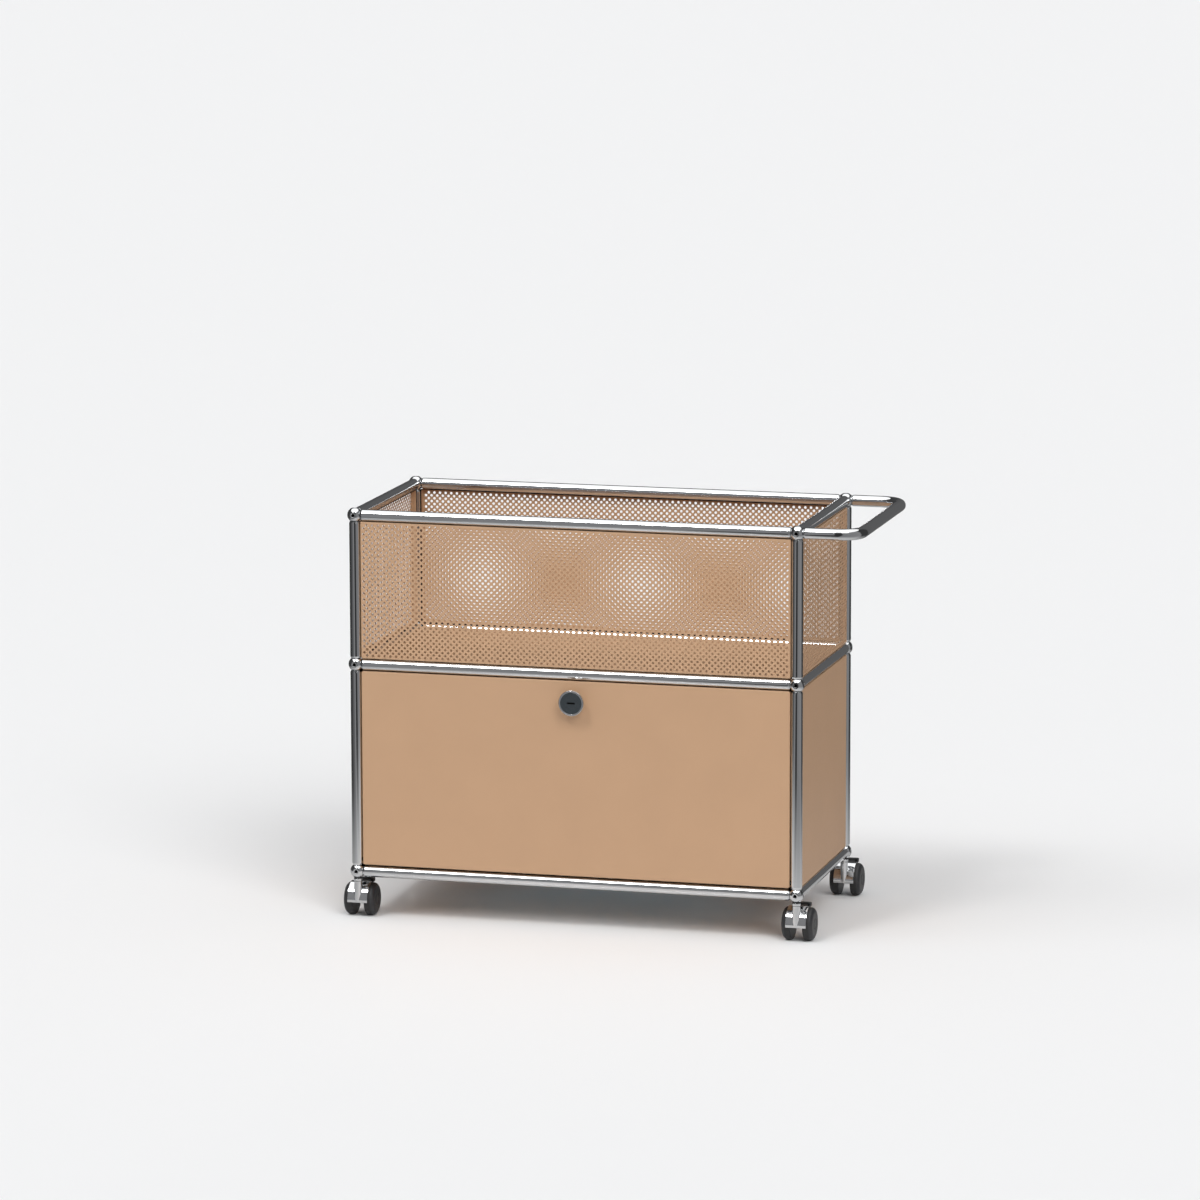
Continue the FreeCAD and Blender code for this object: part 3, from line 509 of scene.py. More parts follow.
def lathe(shape, profile, place, sides=SIDES, closed=False, finish_of=None):
    """Turns a profile of (radius, height) points about the place's Z axis."""
    rings = []
    for radius, height in profile:
        if radius < ON_AXIS:
            rings.append(shape.add([place @ Vector((0, 0, height))]))
            continue
        ring = [(radius * math.cos(a), radius * math.sin(a), height) for a in full_turn(sides)]
        rings.append(shape.add([place @ Vector(point) for point in ring]))
    pairs = list(zip(rings, rings[1:]))
    if closed:
        pairs.append((rings[-1], rings[0]))
    for n, (near, far) in enumerate(pairs):
        shape.bridge(near, far, finish_of(profile[n]) if finish_of else 0)


# The frame


def tube_profile(length):
    """The section of a hollow tube between two ball centres, drawn in at its ends."""
    near, far = TUBE_SETBACK, length - TUBE_SETBACK
    bore = TUBE_RADIUS - TUBE_WALL
    neck_bore = NECK_RADIUS - TUBE_WALL
    corners = [
        (neck_bore, near, 0),
        (NECK_RADIUS, near, EDGE),
        (TUBE_RADIUS, near + NECK_LENGTH, NECK_SHOULDER),
        (TUBE_RADIUS, far - NECK_LENGTH, NECK_SHOULDER),
        (NECK_RADIUS, far, EDGE),
        (neck_bore, far, 0),
        (bore, far - NECK_LENGTH, 0),
        (bore, near + NECK_LENGTH, 0),
    ]
    return softened(corners, closed=True, step=6)


def frame_tubes(node, runs):
    """Replaces a node's tubes, each run from one ball centre to the next."""
    shape = Shape()
    for start, end in runs:
        direction = Vector(end) - Vector(start)
        lathe(shape, tube_profile(direction.length), axis_frame(start, direction), closed=True)
    build(f"{node}_tube", shape, "chrome", "frame", node)


def add_ball(shape, centre):
    """A ball with six flats, each with a countersunk hole; its six faces meet along the
    edges of a cube drawn on the sphere."""
    rings = 7
    edge = math.sqrt(BALL_RADIUS**2 - FLAT_DISTANCE**2)
    hole = [
        (0, BALL_HOLE_END),
        (BALL_HOLE_RADIUS, BALL_HOLE_END),
        (BALL_HOLE_RADIUS, FLAT_DISTANCE - BALL_CHAMFER),
    ]
    flat = [
        (BALL_HOLE_RADIUS + BALL_CHAMFER, FLAT_DISTANCE),
        (BALL_HOLE_RADIUS + 1.4 * BALL_CHAMFER, FLAT_DISTANCE),
        (edge - 2 * FINE_EDGE, FLAT_DISTANCE),
        (edge - FINE_EDGE, FLAT_DISTANCE),
    ]
    first = math.asin((edge + FINE_EDGE) / BALL_RADIUS)
    turns = full_turn(SMALL_SIDES)
    for axis in ((1, 0, 0), (-1, 0, 0), (0, 1, 0), (0, -1, 0), (0, 0, 1), (0, 0, -1)):
        axis = Vector(axis)
        across = Vector((axis.y, axis.z, axis.x))
        up = axis.cross(across)
        spokes = [across * math.cos(a) + up * math.sin(a) for a in turns]
        near = None
        for n, (radius, height) in enumerate(hole + flat):
            foot = centre + axis * height
            ring = shape.add([foot + spoke * radius for spoke in spokes] if radius else [foot])
            if near:
                # The hole's walls and bottom take finish 1, the painted shade
                shape.bridge(near, ring, 1 if n < len(hole) else 0)
            near = ring
        for k in range(rings + 1):
            points = []
            for a, spoke in zip(turns, spokes):
                border = math.atan(1 / max(abs(math.cos(a)), abs(math.sin(a))))
                tilt = first + (border - first) * k / rings
                points.append(centre + (axis * math.cos(tilt) + spoke * math.sin(tilt)) * BALL_RADIUS)
            ring = shape.add(points)
            shape.bridge(near, ring)
            near = ring


def handle():
    """The push handle: one tube from ball to ball in a flat U with two quarter bends."""
    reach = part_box("push_handle")[1].x - TUBE_RADIUS
    straight = reach - HANDLE_BEND - RIGHT
    bore = TUBE_RADIUS - TUBE_WALL
    ends = [(TUBE_SETBACK, NECK_RADIUS - FINE_EDGE), (TUBE_SETBACK + FINE_EDGE, NECK_RADIUS)]
    for length_share, step_share in HANDLE_FLARE_SHARES:
        along = TUBE_SETBACK + length_share * NECK_LENGTH
        ends.append((along, NECK_RADIUS + step_share * (TUBE_RADIUS - NECK_RADIUS)))
    stations = []
    for along, radius in ends:
        stations.append((Vector((RIGHT + along, FRONT, TOP)), Vector((1, 0, 0)), radius))
    steps = 20
    for y, start in ((FRONT + HANDLE_BEND, -90), (REAR - HANDLE_BEND, 0)):
        centre = Vector((RIGHT + straight, y, TOP))
        for k in range(steps + 1):
            angle = math.radians(start + 90 * k / steps)
            outward = Vector((math.cos(angle), math.sin(angle), 0))
            heading = Vector((-math.sin(angle), math.cos(angle), 0))
            stations.append((centre + outward * HANDLE_BEND, heading, TUBE_RADIUS))
    for along, radius in reversed(ends):
        stations.append((Vector((RIGHT + along, REAR, TOP)), Vector((-1, 0, 0)), radius))
    shape = Shape()
    skins = []
    for inner in (False, True):
        rings = []
        for centre, heading, radius in stations:
            size = max(radius - TUBE_WALL, 0) if inner else radius
            side = heading.cross(Vector((0, 0, 1)))
            offsets = [side * math.cos(a) + Vector((0, 0, math.sin(a))) for a in full_turn(SIDES)]
            rings.append(shape.add([centre + offset * size for offset in offsets]))
        shape.skin(rings)
        skins.append(rings)
    shape.bridge(skins[0][0], skins[1][0])
    shape.bridge(skins[0][-1], skins[1][-1])
    build("push_handle_tube", shape, "chrome", "frame", "push_handle")


def make_frame():
    for level, z in LEVELS:
        frame_tubes(f"{level}_front_rail", [((LEFT, FRONT, z), (RIGHT, FRONT, z))])
        frame_tubes(f"{level}_rear_rail", [((LEFT, REAR, z), (RIGHT, REAR, z))])
        sides = [((x, FRONT, z), (x, REAR, z)) for x in (LEFT, RIGHT)]
        frame_tubes(f"{level}_side_rails", sides)
        shape = Shape()
        for x, y in CORNERS:
            add_ball(shape, Vector((x, y, z)))
        node = f"{level}_ball_connectors"
        # The second finish is the painted shade inside the balls' holes
        both = [FINISHES["chrome"], PAINTED_HOLE_SHADE]
        build(f"{level}_faceted_balls", shape, "chrome", "frame", node, both, sharp=18)
    for bay, low, high in (("lower", LOW, MIDDLE), ("upper", MIDDLE, TOP)):
        for side, y in (("front", FRONT), ("rear", REAR)):
            posts = [((x, y, low), (x, y, high)) for x in (LEFT, RIGHT)]
            frame_tubes(f"{bay}_{side}_posts", posts)
    handle()


# Sheet-metal trays


# For each way that a tray faces: the directions of its width, its height and its face
FACINGS = {
    "front": ((1, 0, 0), (0, 0, 1), (0, -1, 0)),
    "rear": ((-1, 0, 0), (0, 0, 1), (0, 1, 0)),
    "right": ((0, 1, 0), (0, 0, 1), (1, 0, 0)),
    "left": ((0, -1, 0), (0, 0, 1), (-1, 0, 0)),
    "up": ((1, 0, 0), (0, 1, 0), (0, 0, 1)),
}


def tray_place(node, facing):
    """Where a node's tray stands: its matrix, with X and Y along the face and Z out of it,
    and its width, height and depth."""
    low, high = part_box(node)
    axes = [Vector(axis) for axis in FACINGS[facing]]
    start = axes[0] + axes[1] - axes[2]
    origin = [low[n] if start[n] > 0 else high[n] for n in range(3)]
    spans = [abs(axis.dot(high - low)) for axis in axes]
    place = Matrix([[*(axis[n] for axis in axes), origin[n]] for n in range(3)] + [[0, 0, 0, 1]])
    return place, spans


def rounded_ring(width, height, inset, corner, level):
    """The points of a rectangle with round corners, anticlockwise from the lower left."""
    radius = max(corner - inset, KEEN_CORNER)
    centres = (
        (inset + radius, inset + radius, 180),
        (width - inset - radius, inset + radius, 270),
        (width - inset - radius, height - inset - radius, 0),
        (inset + radius, height - inset - radius, 90),
    )
    points = []
    for across, up, start in centres:
        for k in range(CORNER_PARTS + 1):
            angle = math.radians(start + 90 * k / CORNER_PARTS)
            points.append(Vector((across + radius * math.cos(angle), up + radius * math.sin(angle), level)))
    return points


def add_tray(shape, place, spans, corner, sheet, perforated=False):
    """A bent sheet with turned-in flanges, and with a plain or a perforated face."""
    width, height, depth = spans
    inner_bend = BEND_RADIUS - sheet
    rounding = min(EDGE, 0.4 * sheet)
    flange_end = -BEND_RADIUS - FACE_GUARD
    outer, inner = [
        [
            (across + inward * rounding, -depth),
            (across, rounding - depth),
            (across, 2 * rounding - depth),
            (across, flange_end),
        ]
        for across, inward in ((0, 1), (sheet, -1))
    ]
    for k in range(BEND_PARTS + 1):
        angle = math.radians(90 * k / BEND_PARTS)
        turn = (1 - math.cos(angle), 1 - math.sin(angle))
        outer.append((BEND_RADIUS * turn[0], -BEND_RADIUS * turn[1]))
        inner.append((sheet + inner_bend * turn[0], -sheet - inner_bend * turn[1]))
    outer.append((BEND_RADIUS + FACE_GUARD, 0))
    inner.append((BEND_RADIUS + FACE_GUARD, -sheet))
    skins = []
    for path in (outer, inner):
        rings = []
        for inset, level in path:
            ring = rounded_ring(width, height, inset, corner, level)
            rings.append(shape.add([place @ point for point in ring]))
        shape.skin(rings)
        skins.append(rings)
    shape.bridge(skins[0][0], skins[1][0])
    faces = (skins[0][-1], skins[1][-1])
    if perforated:
        perforate(shape, place, grid_lines(width), grid_lines(height), faces, sheet)
    else:
        for ring in faces:
            shape.face(ring)


def grid_lines(length):
    """The grid's lines along one side of a face: an even number of steps nearest to the stamped
    step, and one line more past the land at each end."""
    steps = 2 * round((length - 2 * HOLE_MARGIN) / HOLE_STEP / 2)
    step = (length - 2 * HOLE_MARGIN) / steps
    lines = [HOLE_MARGIN + step * n for n in range(steps + 1)]
    return [lines[0] - HOLE_LAND, *lines, lines[-1] + HOLE_LAND]


def perforate(shape, place, across, up, faces, sheet):
    """Fills both skins of a face with holes at every second crossing of a grid's lines."""
    last_column, last_row = len(across) - 1, len(up) - 1
    quarter = HOLE_SIDES // 4
    rims = {}
    for skin, (level, radius) in enumerate(((0, HOLE_RADIUS), (-sheet, HOLE_RADIUS + HOLE_FLARE))):
        circle = [(radius * math.cos(a), radius * math.sin(a)) for a in full_turn(HOLE_SIDES)]
        nodes = {}
        for i in range(last_column + 1):
            for j in range(i % 2, last_row + 1, 2):
                nodes[i, j] = shape.add([place @ Vector((across[i], up[j], level))])[0]
        for i in range(1, last_column):
            for j in range(1 + i % 2, last_row, 2):
                centre = Vector((across[i], up[j], level))
                rim = shape.add([place @ (centre + Vector((x, y, 0))) for x, y in circle])
                rims[skin, i, j] = rim
                around = (nodes[i + 1, j], nodes[i, j + 1], nodes[i - 1, j], nodes[i, j - 1])
                for side in range(4):
                    near, far = around[side], around[(side + 1) % 4]
                    arc = [rim[(side * quarter + k) % HOLE_SIDES] for k in range(quarter + 1)]
                    shape.face((near, arc[1], arc[0]))
                    shape.face((near, far, arc[2], arc[1]))
                    shape.face((far, arc[3], arc[2]))
        for i in range(0, last_column, 2):
            shape.face((nodes[i, 0], nodes[i + 2, 0], nodes[i + 1, 1]))
            shape.face((nodes[i, last_row], nodes[i + 1, last_row - 1], nodes[i + 2, last_row]))
        for j in range(0, last_row, 2):
            shape.face((nodes[0, j], nodes[1, j + 1], nodes[0, j + 2]))
            shape.face((nodes[last_column, j], nodes[last_column, j + 2], nodes[last_column - 1, j + 1]))
        border = [
            [nodes[i, 0] for i in range(0, last_column + 1, 2)],
            [nodes[last_column, j] for j in range(0, last_row + 1, 2)],
            [nodes[i, last_row] for i in range(last_column, -1, -2)],
            [nodes[0, j] for j in range(last_row, -1, -2)],
        ]
        ring = faces[skin]
        for side in range(4):
            start = side * (CORNER_PARTS + 1)
            corner = ring[start : start + CORNER_PARTS + 1]
            nearest = border[side][0]
            for near, far in zip(corner, corner[1:]):
                shape.face((near, far, nearest))
            next_corner = ring[(start + CORNER_PARTS + 1) % len(ring)]
            shape.face((corner[-1], next_corner, *reversed(border[side])))
    for (skin, i, j), rim in rims.items():
        if skin == 0:
            shape.bridge(rim, rims[1, i, j])


PLAIN_PANELS = (
    ("cabinet_floor_panel", "up"),
    ("middle_shelf_panel", "up"),
    ("lower_left_panel", "left"),
    ("lower_right_panel", "right"),
    ("lower_rear_panel", "rear"),
)
PERFORATED_PANELS = (
    ("upper_front_panel", "front"),
    ("upper_rear_panel", "rear"),
    ("upper_left_panel", "left"),
    ("upper_right_panel", "right"),
)


def make_panels():
    for node, facing in PLAIN_PANELS:
        shape = Shape()
        add_tray(shape, *tray_place(node, facing), PANEL_CORNER, SHEET)
        build(f"{node}_sheet", shape, "panel_paint", "frame", node)
    for node, facing in PERFORATED_PANELS:
        shape = Shape()
        add_tray(shape, *tray_place(node, facing), PANEL_CORNER, PERFORATED_SHEET, perforated=True)
        build(f"{node}_perforated_sheet", shape, "panel_paint", "frame", node)


# Door and lock


def rod(radius, start, direction, length):
    """A plain round tool."""
    shape = Shape()
    profile = [(0, 0), (radius, 0), (radius, length), (0, length)]
    lathe(shape, profile, axis_frame(start, direction), SMALL_SIDES)
    return shape


def brick(low, high, finish=0):
    """A plain square-edged tool."""
    shape = Shape()
    for z in (low[2], high[2]):
        for y in (low[1], high[1]):
            shape.add([Vector((low[0], y, z)), Vector((high[0], y, z))])
    for face in ((0, 2, 3, 1), (4, 5, 7, 6), (0, 1, 5, 4), (2, 6, 7, 3), (0, 4, 6, 2), (1, 3, 7, 5)):
        shape.face(face, finish)
    return shape


def lock_axis():
    low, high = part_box("lock_ring")
    return Vector(((low.x + high.x) / 2, low.y, (low.z + high.z) / 2))


def make_door():
    """The outer sheet: a deep tray, pierced for the lock's barrel, its bolt and the bushes."""
    shape = Shape()
    add_tray(shape, *tray_place("door_shell", "front"), DOOR_CORNER, SHEET)
    low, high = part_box("door_shell")
    bolt_low, bolt_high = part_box("lock_bolt")
    pins_low, pins_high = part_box("door_hinge_pins")
    hinge_z = (pins_low.z + pins_high.z) / 2
    barrel_start = lock_axis() + Vector((0, KNOB_PROJECTION - OVERRUN, 0))
    guide_low = (bolt_low.x - GUIDE_GAP, bolt_low.y - 2 * FIT_GAP, high.z - OVERRUN)
    guide_high = (bolt_high.x + GUIDE_GAP, bolt_high.y + 2 * FIT_GAP, high.z + OVERRUN)
    bush_bore = BUSH_RADIUS + RUNNING_GAP
    tools = [
        rod(BARREL_RADIUS + FIT_GAP, barrel_start, (0, 1, 0), 2 * OVERRUN),
        brick(guide_low, guide_high),
        rod(bush_bore, (low.x - OVERRUN, FRONT, hinge_z), (1, 0, 0), 2 * OVERRUN),
        rod(bush_bore, (high.x - OVERRUN, FRONT, hinge_z), (1, 0, 0), 2 * OVERRUN),
    ]
    build("door_outer_sheet", shape, "panel_paint", "door", "door_shell", tools=tools)


def make_lock():
    centre = lock_axis()
    place = axis_frame(centre, (0, 1, 0))
    low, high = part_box("lock_ring")
    knob_radius = (high.z - low.z) / 2
    face_bore = FACE_RADIUS + FIT_GAP
    shaft_bore = SHAFT_RADIUS + RUNNING_GAP
    ring = [
        (face_bore, 0, EDGE),
        (knob_radius, 0, KNOB_RIM_ROUNDING),
        (knob_radius, KNOB_RIM, KNOB_BACK_ROUNDING),
        (KNOB_NECK_RADIUS, KNOB_CONE_END, KNOB_NECK_ROUNDING),
        (KNOB_NECK_RADIUS, KNOB_PROJECTION, 0),
        (BARREL_RADIUS, KNOB_PROJECTION, 0),
        (BARREL_RADIUS, KNOB_PROJECTION + BARREL_LENGTH, SOFT_EDGE),
        (shaft_bore, KNOB_PROJECTION + BARREL_LENGTH, 0),
        (shaft_bore, KNOB_RECESS, 0),
        (face_bore, KNOB_RECESS, 0),
    ]
    shape = Shape()
    lathe(shape, softened(ring, closed=True), place, LARGE_SIDES, closed=True)
    build("lock_knob_ring", shape, "chrome", "door", "lock_ring")

    face_back = KNOB_RECESS - FIT_GAP
    face = [
        (0, FACE_SETBACK, 0),
        (FACE_RADIUS, FACE_SETBACK, ROUND_EDGE),
        (FACE_RADIUS, face_back, 0),
        (SHAFT_RADIUS, face_back, 0),
        (SHAFT_RADIUS, TAIL_START, 0),
        (TAIL_RADIUS, TAIL_START, FINE_EDGE),
        (TAIL_RADIUS, TAIL_END, FINE_EDGE),
        (0, TAIL_END, 0),
    ]
    shape = Shape()
    lathe(shape, softened(face), place, LARGE_SIDES)
    pin_start = centre + Vector((CRANK_RADIUS, TAIL_START + FIT_GAP, 0))
    pin_length = CRANK_PIN_END - TAIL_START - FIT_GAP
    pin = [
        (0, 0, 0),
        (CRANK_PIN_RADIUS, 0, 0),
        (CRANK_PIN_RADIUS, pin_length, EDGE),
        (0, pin_length, 0),
    ]
    lathe(shape, softened(pin), axis_frame(pin_start, (0, 1, 0)), PIN_SIDES)
    half = (KEY_SLOT_WIDTH / 2, KEY_SLOT_HEIGHT / 2)
    slot_low = (centre.x - half[0], centre.y - KEY_SLOT_DEPTH, centre.z - half[1])
    slot_high = (centre.x + half[0], centre.y + FACE_SETBACK + KEY_SLOT_DEPTH, centre.z + half[1])
    # The key slot's cut walls take the second finish, the painted shade
    both = [FINISHES["lock_face"], PAINTED_HOLE_SHADE]
    key_slot = brick(slot_low, slot_high, 1)
    node = "lock_cylinder"
    build("lock_turning_face", shape, "lock_face", node, node, both, tools=[key_slot])


# Castors


def add_hood(shape, x, y, axle_z, stem_top):
    """The chromed body of a castor: hood, web, hub, stem and front rib."""
    centre = Vector((x, y + WHEEL_TRAIL, axle_z))

    def around(angle, radius, across):
        turn = math.radians(angle)
        return centre + Vector((across, radius * math.cos(turn), radius * math.sin(turn)))

    rings = []
    first, last = HOOD_ANGLES
    stops = [(first + turn, inset) for turn, inset in HOOD_END]
    stops += [(angle, 0) for angle in range(first + 1 + HOOD_STEP, last + 1 - HOOD_STEP, HOOD_STEP)]
    stops += [(last - turn, inset) for turn, inset in reversed(HOOD_END)]
    for angle, inset in stops:
        half = HOOD_WIDTH / 2 - inset
        low, high = HOOD_INNER + inset, HOOD_OUTER - inset
        corners = ((low, -half), (high, -half), (high, half), (low, half))
        section = [(*corner, HOOD_EDGE) for corner in corners]
        section = softened(section, closed=True, step=30, guard=HOOD_GUARD)
        rings.append(shape.add([around(angle, radius, across) for radius, across in section]))
    shape.skin(rings)
    shape.face(rings[0])
    shape.face(rings[-1])

    for start, end, radius in (
        (first, last - 1, WEB_RADIUS),
        (REAR_WEB_ANGLE, first + 2, REAR_WEB_RADIUS),
    ):
        parts = (end - start) // WEB_STEP
        sides = []
        for across in (-WEB_WIDTH / 2, WEB_WIDTH / 2):
            points = [around(0, 0, across)]
            points += [around(start + (end - start) * k / parts, radius, across) for k in range(parts + 1)]
            sides.append(shape.add(points))
        shape.bridge(*sides)
        for side in sides:
            shape.face(side)

    hub = [
        (AXLE_RADIUS + RUNNING_GAP, 0, 0),
        (HUB_RADIUS, 0, ROUND_EDGE),
        (HUB_RADIUS, HUB_LENGTH, ROUND_EDGE),
        (AXLE_RADIUS + RUNNING_GAP, HUB_LENGTH, 0),
    ]
    hub_place = axis_frame(centre - Vector((HUB_LENGTH / 2, 0, 0)), (1, 0, 0))
    lathe(shape, softened(hub, closed=True), hub_place, SMALL_SIDES, closed=True)

    bore = SWIVEL_PIN_RADIUS + RUNNING_GAP
    bore_end = stem_top - SWIVEL_PIN_LENGTH
    stem = [
        (0, bore_end, 0),
        (bore, bore_end, 0),
        (bore, stem_top, 0),
        (STEM_RADIUS, stem_top, 2 * EDGE),
        (STEM_RADIUS, stem_top - STEM_LENGTH, 0),
        (0, stem_top - STEM_LENGTH, 0),
    ]
    lathe(shape, softened(stem), Matrix.Translation((x, y, 0)), SMALL_SIDES)
    lean = math.radians(RIB_LEAN)
    down = Vector((0, -math.sin(lean), -math.cos(lean)))
    rib = [
        (0, RIB_START, 0),
        (STEM_RADIUS, RIB_START, 0),
        (STEM_RADIUS, RIB_LENGTH, 2 * SOFT_EDGE),
        (0, RIB_LENGTH, 0),
    ]
    lathe(shape, softened(rib), axis_frame((x, y, stem_top), down), SMALL_SIDES)


def add_wheel(shape, face, direction, width):
    """A wheel from its inner face outward: tread, domed shoulder and a hub cap."""
    cap_end = CAP_RADIUS - CAP_GROOVE_WIDTH
    profile = [
        (0, width - WHEEL_COVER, 0),
        (AXLE_RADIUS + RUNNING_GAP, width - WHEEL_COVER, 0),
        (AXLE_RADIUS + RUNNING_GAP, 0, 0),
        (WHEEL_RADIUS - WHEEL_RECESS, 0, 0),
        (WHEEL_RADIUS, 0, WHEEL_INNER_ROUNDING),
        (WHEEL_RADIUS, width, WHEEL_SHOULDER),
        (CAP_RADIUS, width, FINE_EDGE),
        (CAP_RADIUS - CAP_GROOVE, width - CAP_GROOVE, FINE_EDGE),
        (cap_end - CAP_GROOVE, width - CAP_GROOVE, FINE_EDGE),
        (cap_end - 2 * CAP_GROOVE, width, EDGE),
        (0, width, 0),
    ]
    points = softened(profile, step=7)

    def on_tread(point):
        return 1 if point[0] > WHEEL_RADIUS - TREAD_DEPTH else 0

    lathe(shape, points, axis_frame(face, direction), LARGE_SIDES, finish_of=on_tread)


def make_castors():
    studs, washers = Shape(), Shape()
    studs_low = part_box("castor_studs")[0]
    flat = LOW - FLAT_DISTANCE
    collar_top = flat - WASHER_THICKNESS
    for x, y in CORNERS:
        stud = [
            (0, studs_low.z, 0),
            (SWIVEL_PIN_RADIUS, studs_low.z, EDGE),
            (SWIVEL_PIN_RADIUS, collar_top - COLLAR_HEIGHT, 0),
            (COLLAR_RADIUS, collar_top - COLLAR_HEIGHT, SOFT_EDGE),
            (COLLAR_RADIUS, collar_top, SOFT_EDGE),
            (STUD_RADIUS, collar_top, 0),
            (STUD_RADIUS, flat + STUD_REACH, EDGE),
            (0, flat + STUD_REACH, 0),
        ]
        place = Matrix.Translation((x, y, 0))
        lathe(studs, softened(stud), place, SMALL_SIDES)
        washer = [
            (SWIVEL_PIN_RADIUS, collar_top, 0),
            (WASHER_RADIUS, collar_top, EDGE),
            (WASHER_RADIUS, flat, EDGE),
            (SWIVEL_PIN_RADIUS, flat, 0),
        ]
        lathe(washers, softened(washer, closed=True), place, SMALL_SIDES, closed=True)
    build("castor_collar_studs", studs, "chrome", "frame", "castor_studs")
    build("castor_seat_washers", washers, "black_plastic", "frame", "castor_washers")
    for name, (x, y) in zip(CORNER_NAMES, CORNERS):
        hood_node = f"{name}_castor_hood"
        shape = Shape()
        add_hood(shape, x, y, WHEEL_RADIUS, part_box(hood_node)[1].z)
        build(f"{name}_castor_housing", shape, "chrome", f"{name}_castor", hood_node)
        for side, direction in (("left", -1), ("right", 1)):
            node = f"{name}_castor_{side}_wheel"
            low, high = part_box(node)
            inner = low.x if direction > 0 else high.x
            shape = Shape()
            add_wheel(shape, (inner, y + WHEEL_TRAIL, WHEEL_RADIUS), (direction, 0, 0), high.x - low.x)
            both = [FINISHES["wheel_plastic"], TREAD]
            build(f"{name}_castor_{side}_twin_wheel", shape, "wheel_plastic", node, node, both)


# Carried-over nodes take the finish of their slot


def dress_nodes():
    for node in frame["nodes"].values():
        names = [material.name for material in node.data.materials]
        for n, name in enumerate(names):
            node.data.materials[n] = FINISHES[name.split(".")[0]]


# Studio: floor, world, lamps and camera

BACKDROP = (0.888, 0.888, 0.888, 1)
AMBIENT = (0.94, 0.98, 1.04, 1)
AMBIENT_STRENGTH = 0.14
FLOOR_REACH = 90
FLOOR_SHINE = 0.03
FLOOR_ROUGHNESS = 0.12

# The floor's cool glow in the cabinet's shade: its reach as shares of the bay's width and depth,
# and the share of that reach where it begins to fade
SHADE_FILL = (0.014, 0.045, 0.062, 1)
SHADE_FILL_SHARES = (0.56, 0.64)
SHADE_FADE_SHARE = 0.4

# The dark floor and the dark band that only the mirrors show: the floor's height and reach, the
# distances between which it fades in, and the band's distance and top in degrees
DARK_FLOOR_LEVEL = 0.5 * MM
DARK_FLOOR_REACH = 60
DARK_FLOOR_FADE = (-0.3, 1.7)
SURROUND_DISTANCE = 40
SURROUND_TOP = 48
SURROUND_SIDES = 96

# What the chrome mirrors around it, as greys at azimuths: 0 is the front, 90 the right
SURROUND = (
    (-180, 0.12), (-150, 0.06), (-64, 0.05), (-56, 0.12), (-31, 0.15),
    (-27, 0.25), (-10, 0.25), (-6, 0.035), (20, 0.035), (26, 0.22),
    (97, 0.27), (104, 0.05), (146, 0.05), (156, 0.12), (180, 0.12),
)
SURROUND_BLUE = 1.02

# Soft lights far away: name, azimuth and elevation of where each comes from, spread, strength
LAMPS = (
    ("right_light", 38, 39, 34, 1.42),
    ("left_light", -60, 36, 34, 0.42),
    ("key_light", -28, 54, 14, 0.76),
    ("high_light", 0, 86, 110, 1.08),
)

# The camera, fitted to the ten balls that the photograph shows; its place is from the lower
# front left ball
CAMERA_PLACE = (3.04775, -9.7248, 2.2456)
CAMERA_HEADING = (-0.25706, 0.95078, -0.17305)
CAMERA_ROLL = -0.12
CAMERA_LENS = 187.65
CAMERA_SENSOR = 36
CAMERA_REACH = 200


def stage_material(name):
    """A material with nothing in it yet but its output."""
    material = bpy.data.materials.new(name)
    material.use_nodes = True
    tree = material.node_tree
    tree.nodes.remove(tree.nodes["Principled BSDF"])
    return material, tree


def stage_object(name, shape, material):
    mesh = bpy.data.meshes.new(name)
    mesh.from_pydata([tuple(point) for point in shape.points], [], shape.faces)
    mesh.materials.append(material)
    thing = bpy.data.objects.new(name, mesh)
    bpy.context.scene.collection.objects.link(thing)
    return thing


def flat_shape(reach, level):
    """A level square about the origin."""
    shape = Shape()
    signs = ((-1, -1), (1, -1), (1, 1), (-1, 1))
    shape.face(shape.add([Vector((x * reach, y * reach, level)) for x, y in signs]))
    return shape


def reflected_only(thing):
    """Leaves a stage object to the reflections alone."""
    thing.visible_camera = False
    thing.visible_diffuse = False
    thing.visible_shadow = False
    thing.visible_transmission = False


def computed(tree, operation, first, second):
    """What a math node makes of two numbers."""
    node = tree.nodes.new("ShaderNodeMath")
    node.operation = operation
    tree.links.new(first, node.inputs[0])
    tree.links.new(second, node.inputs[1])
    return node.outputs["Value"]


def fading(tree, place, span, values):
    """A number that changes smoothly with the distance of a place from the origin."""
    distance = tree.nodes.new("ShaderNodeVectorMath")
    distance.operation = "LENGTH"
    tree.links.new(place, distance.inputs[0])
    fade = tree.nodes.new("ShaderNodeMapRange")
    fade.interpolation_type = "SMOOTHSTEP"
    set_range(fade, span, values)
    tree.links.new(distance.outputs["Value"], fade.inputs["Value"])
    return fade.outputs["Result"]


def mixed(tree, first, second):
    """A mix of two shaders, whose share of the second one is still to be set."""
    mix = tree.nodes.new("ShaderNodeMixShader")
    tree.links.new(first, mix.inputs[1])
    tree.links.new(second, mix.inputs[2])
    return mix


def seen_directly(tree):
    """One for the camera's rays and those that come by a mirror or through glass, else none."""
    path = tree.nodes.new("ShaderNodeLightPath")
    seen = path.outputs["Is Camera Ray"]
    for output in ("Is Glossy Ray", "Is Transmission Ray"):
        seen = computed(tree, "MAXIMUM", seen, path.outputs[output])
    return seen


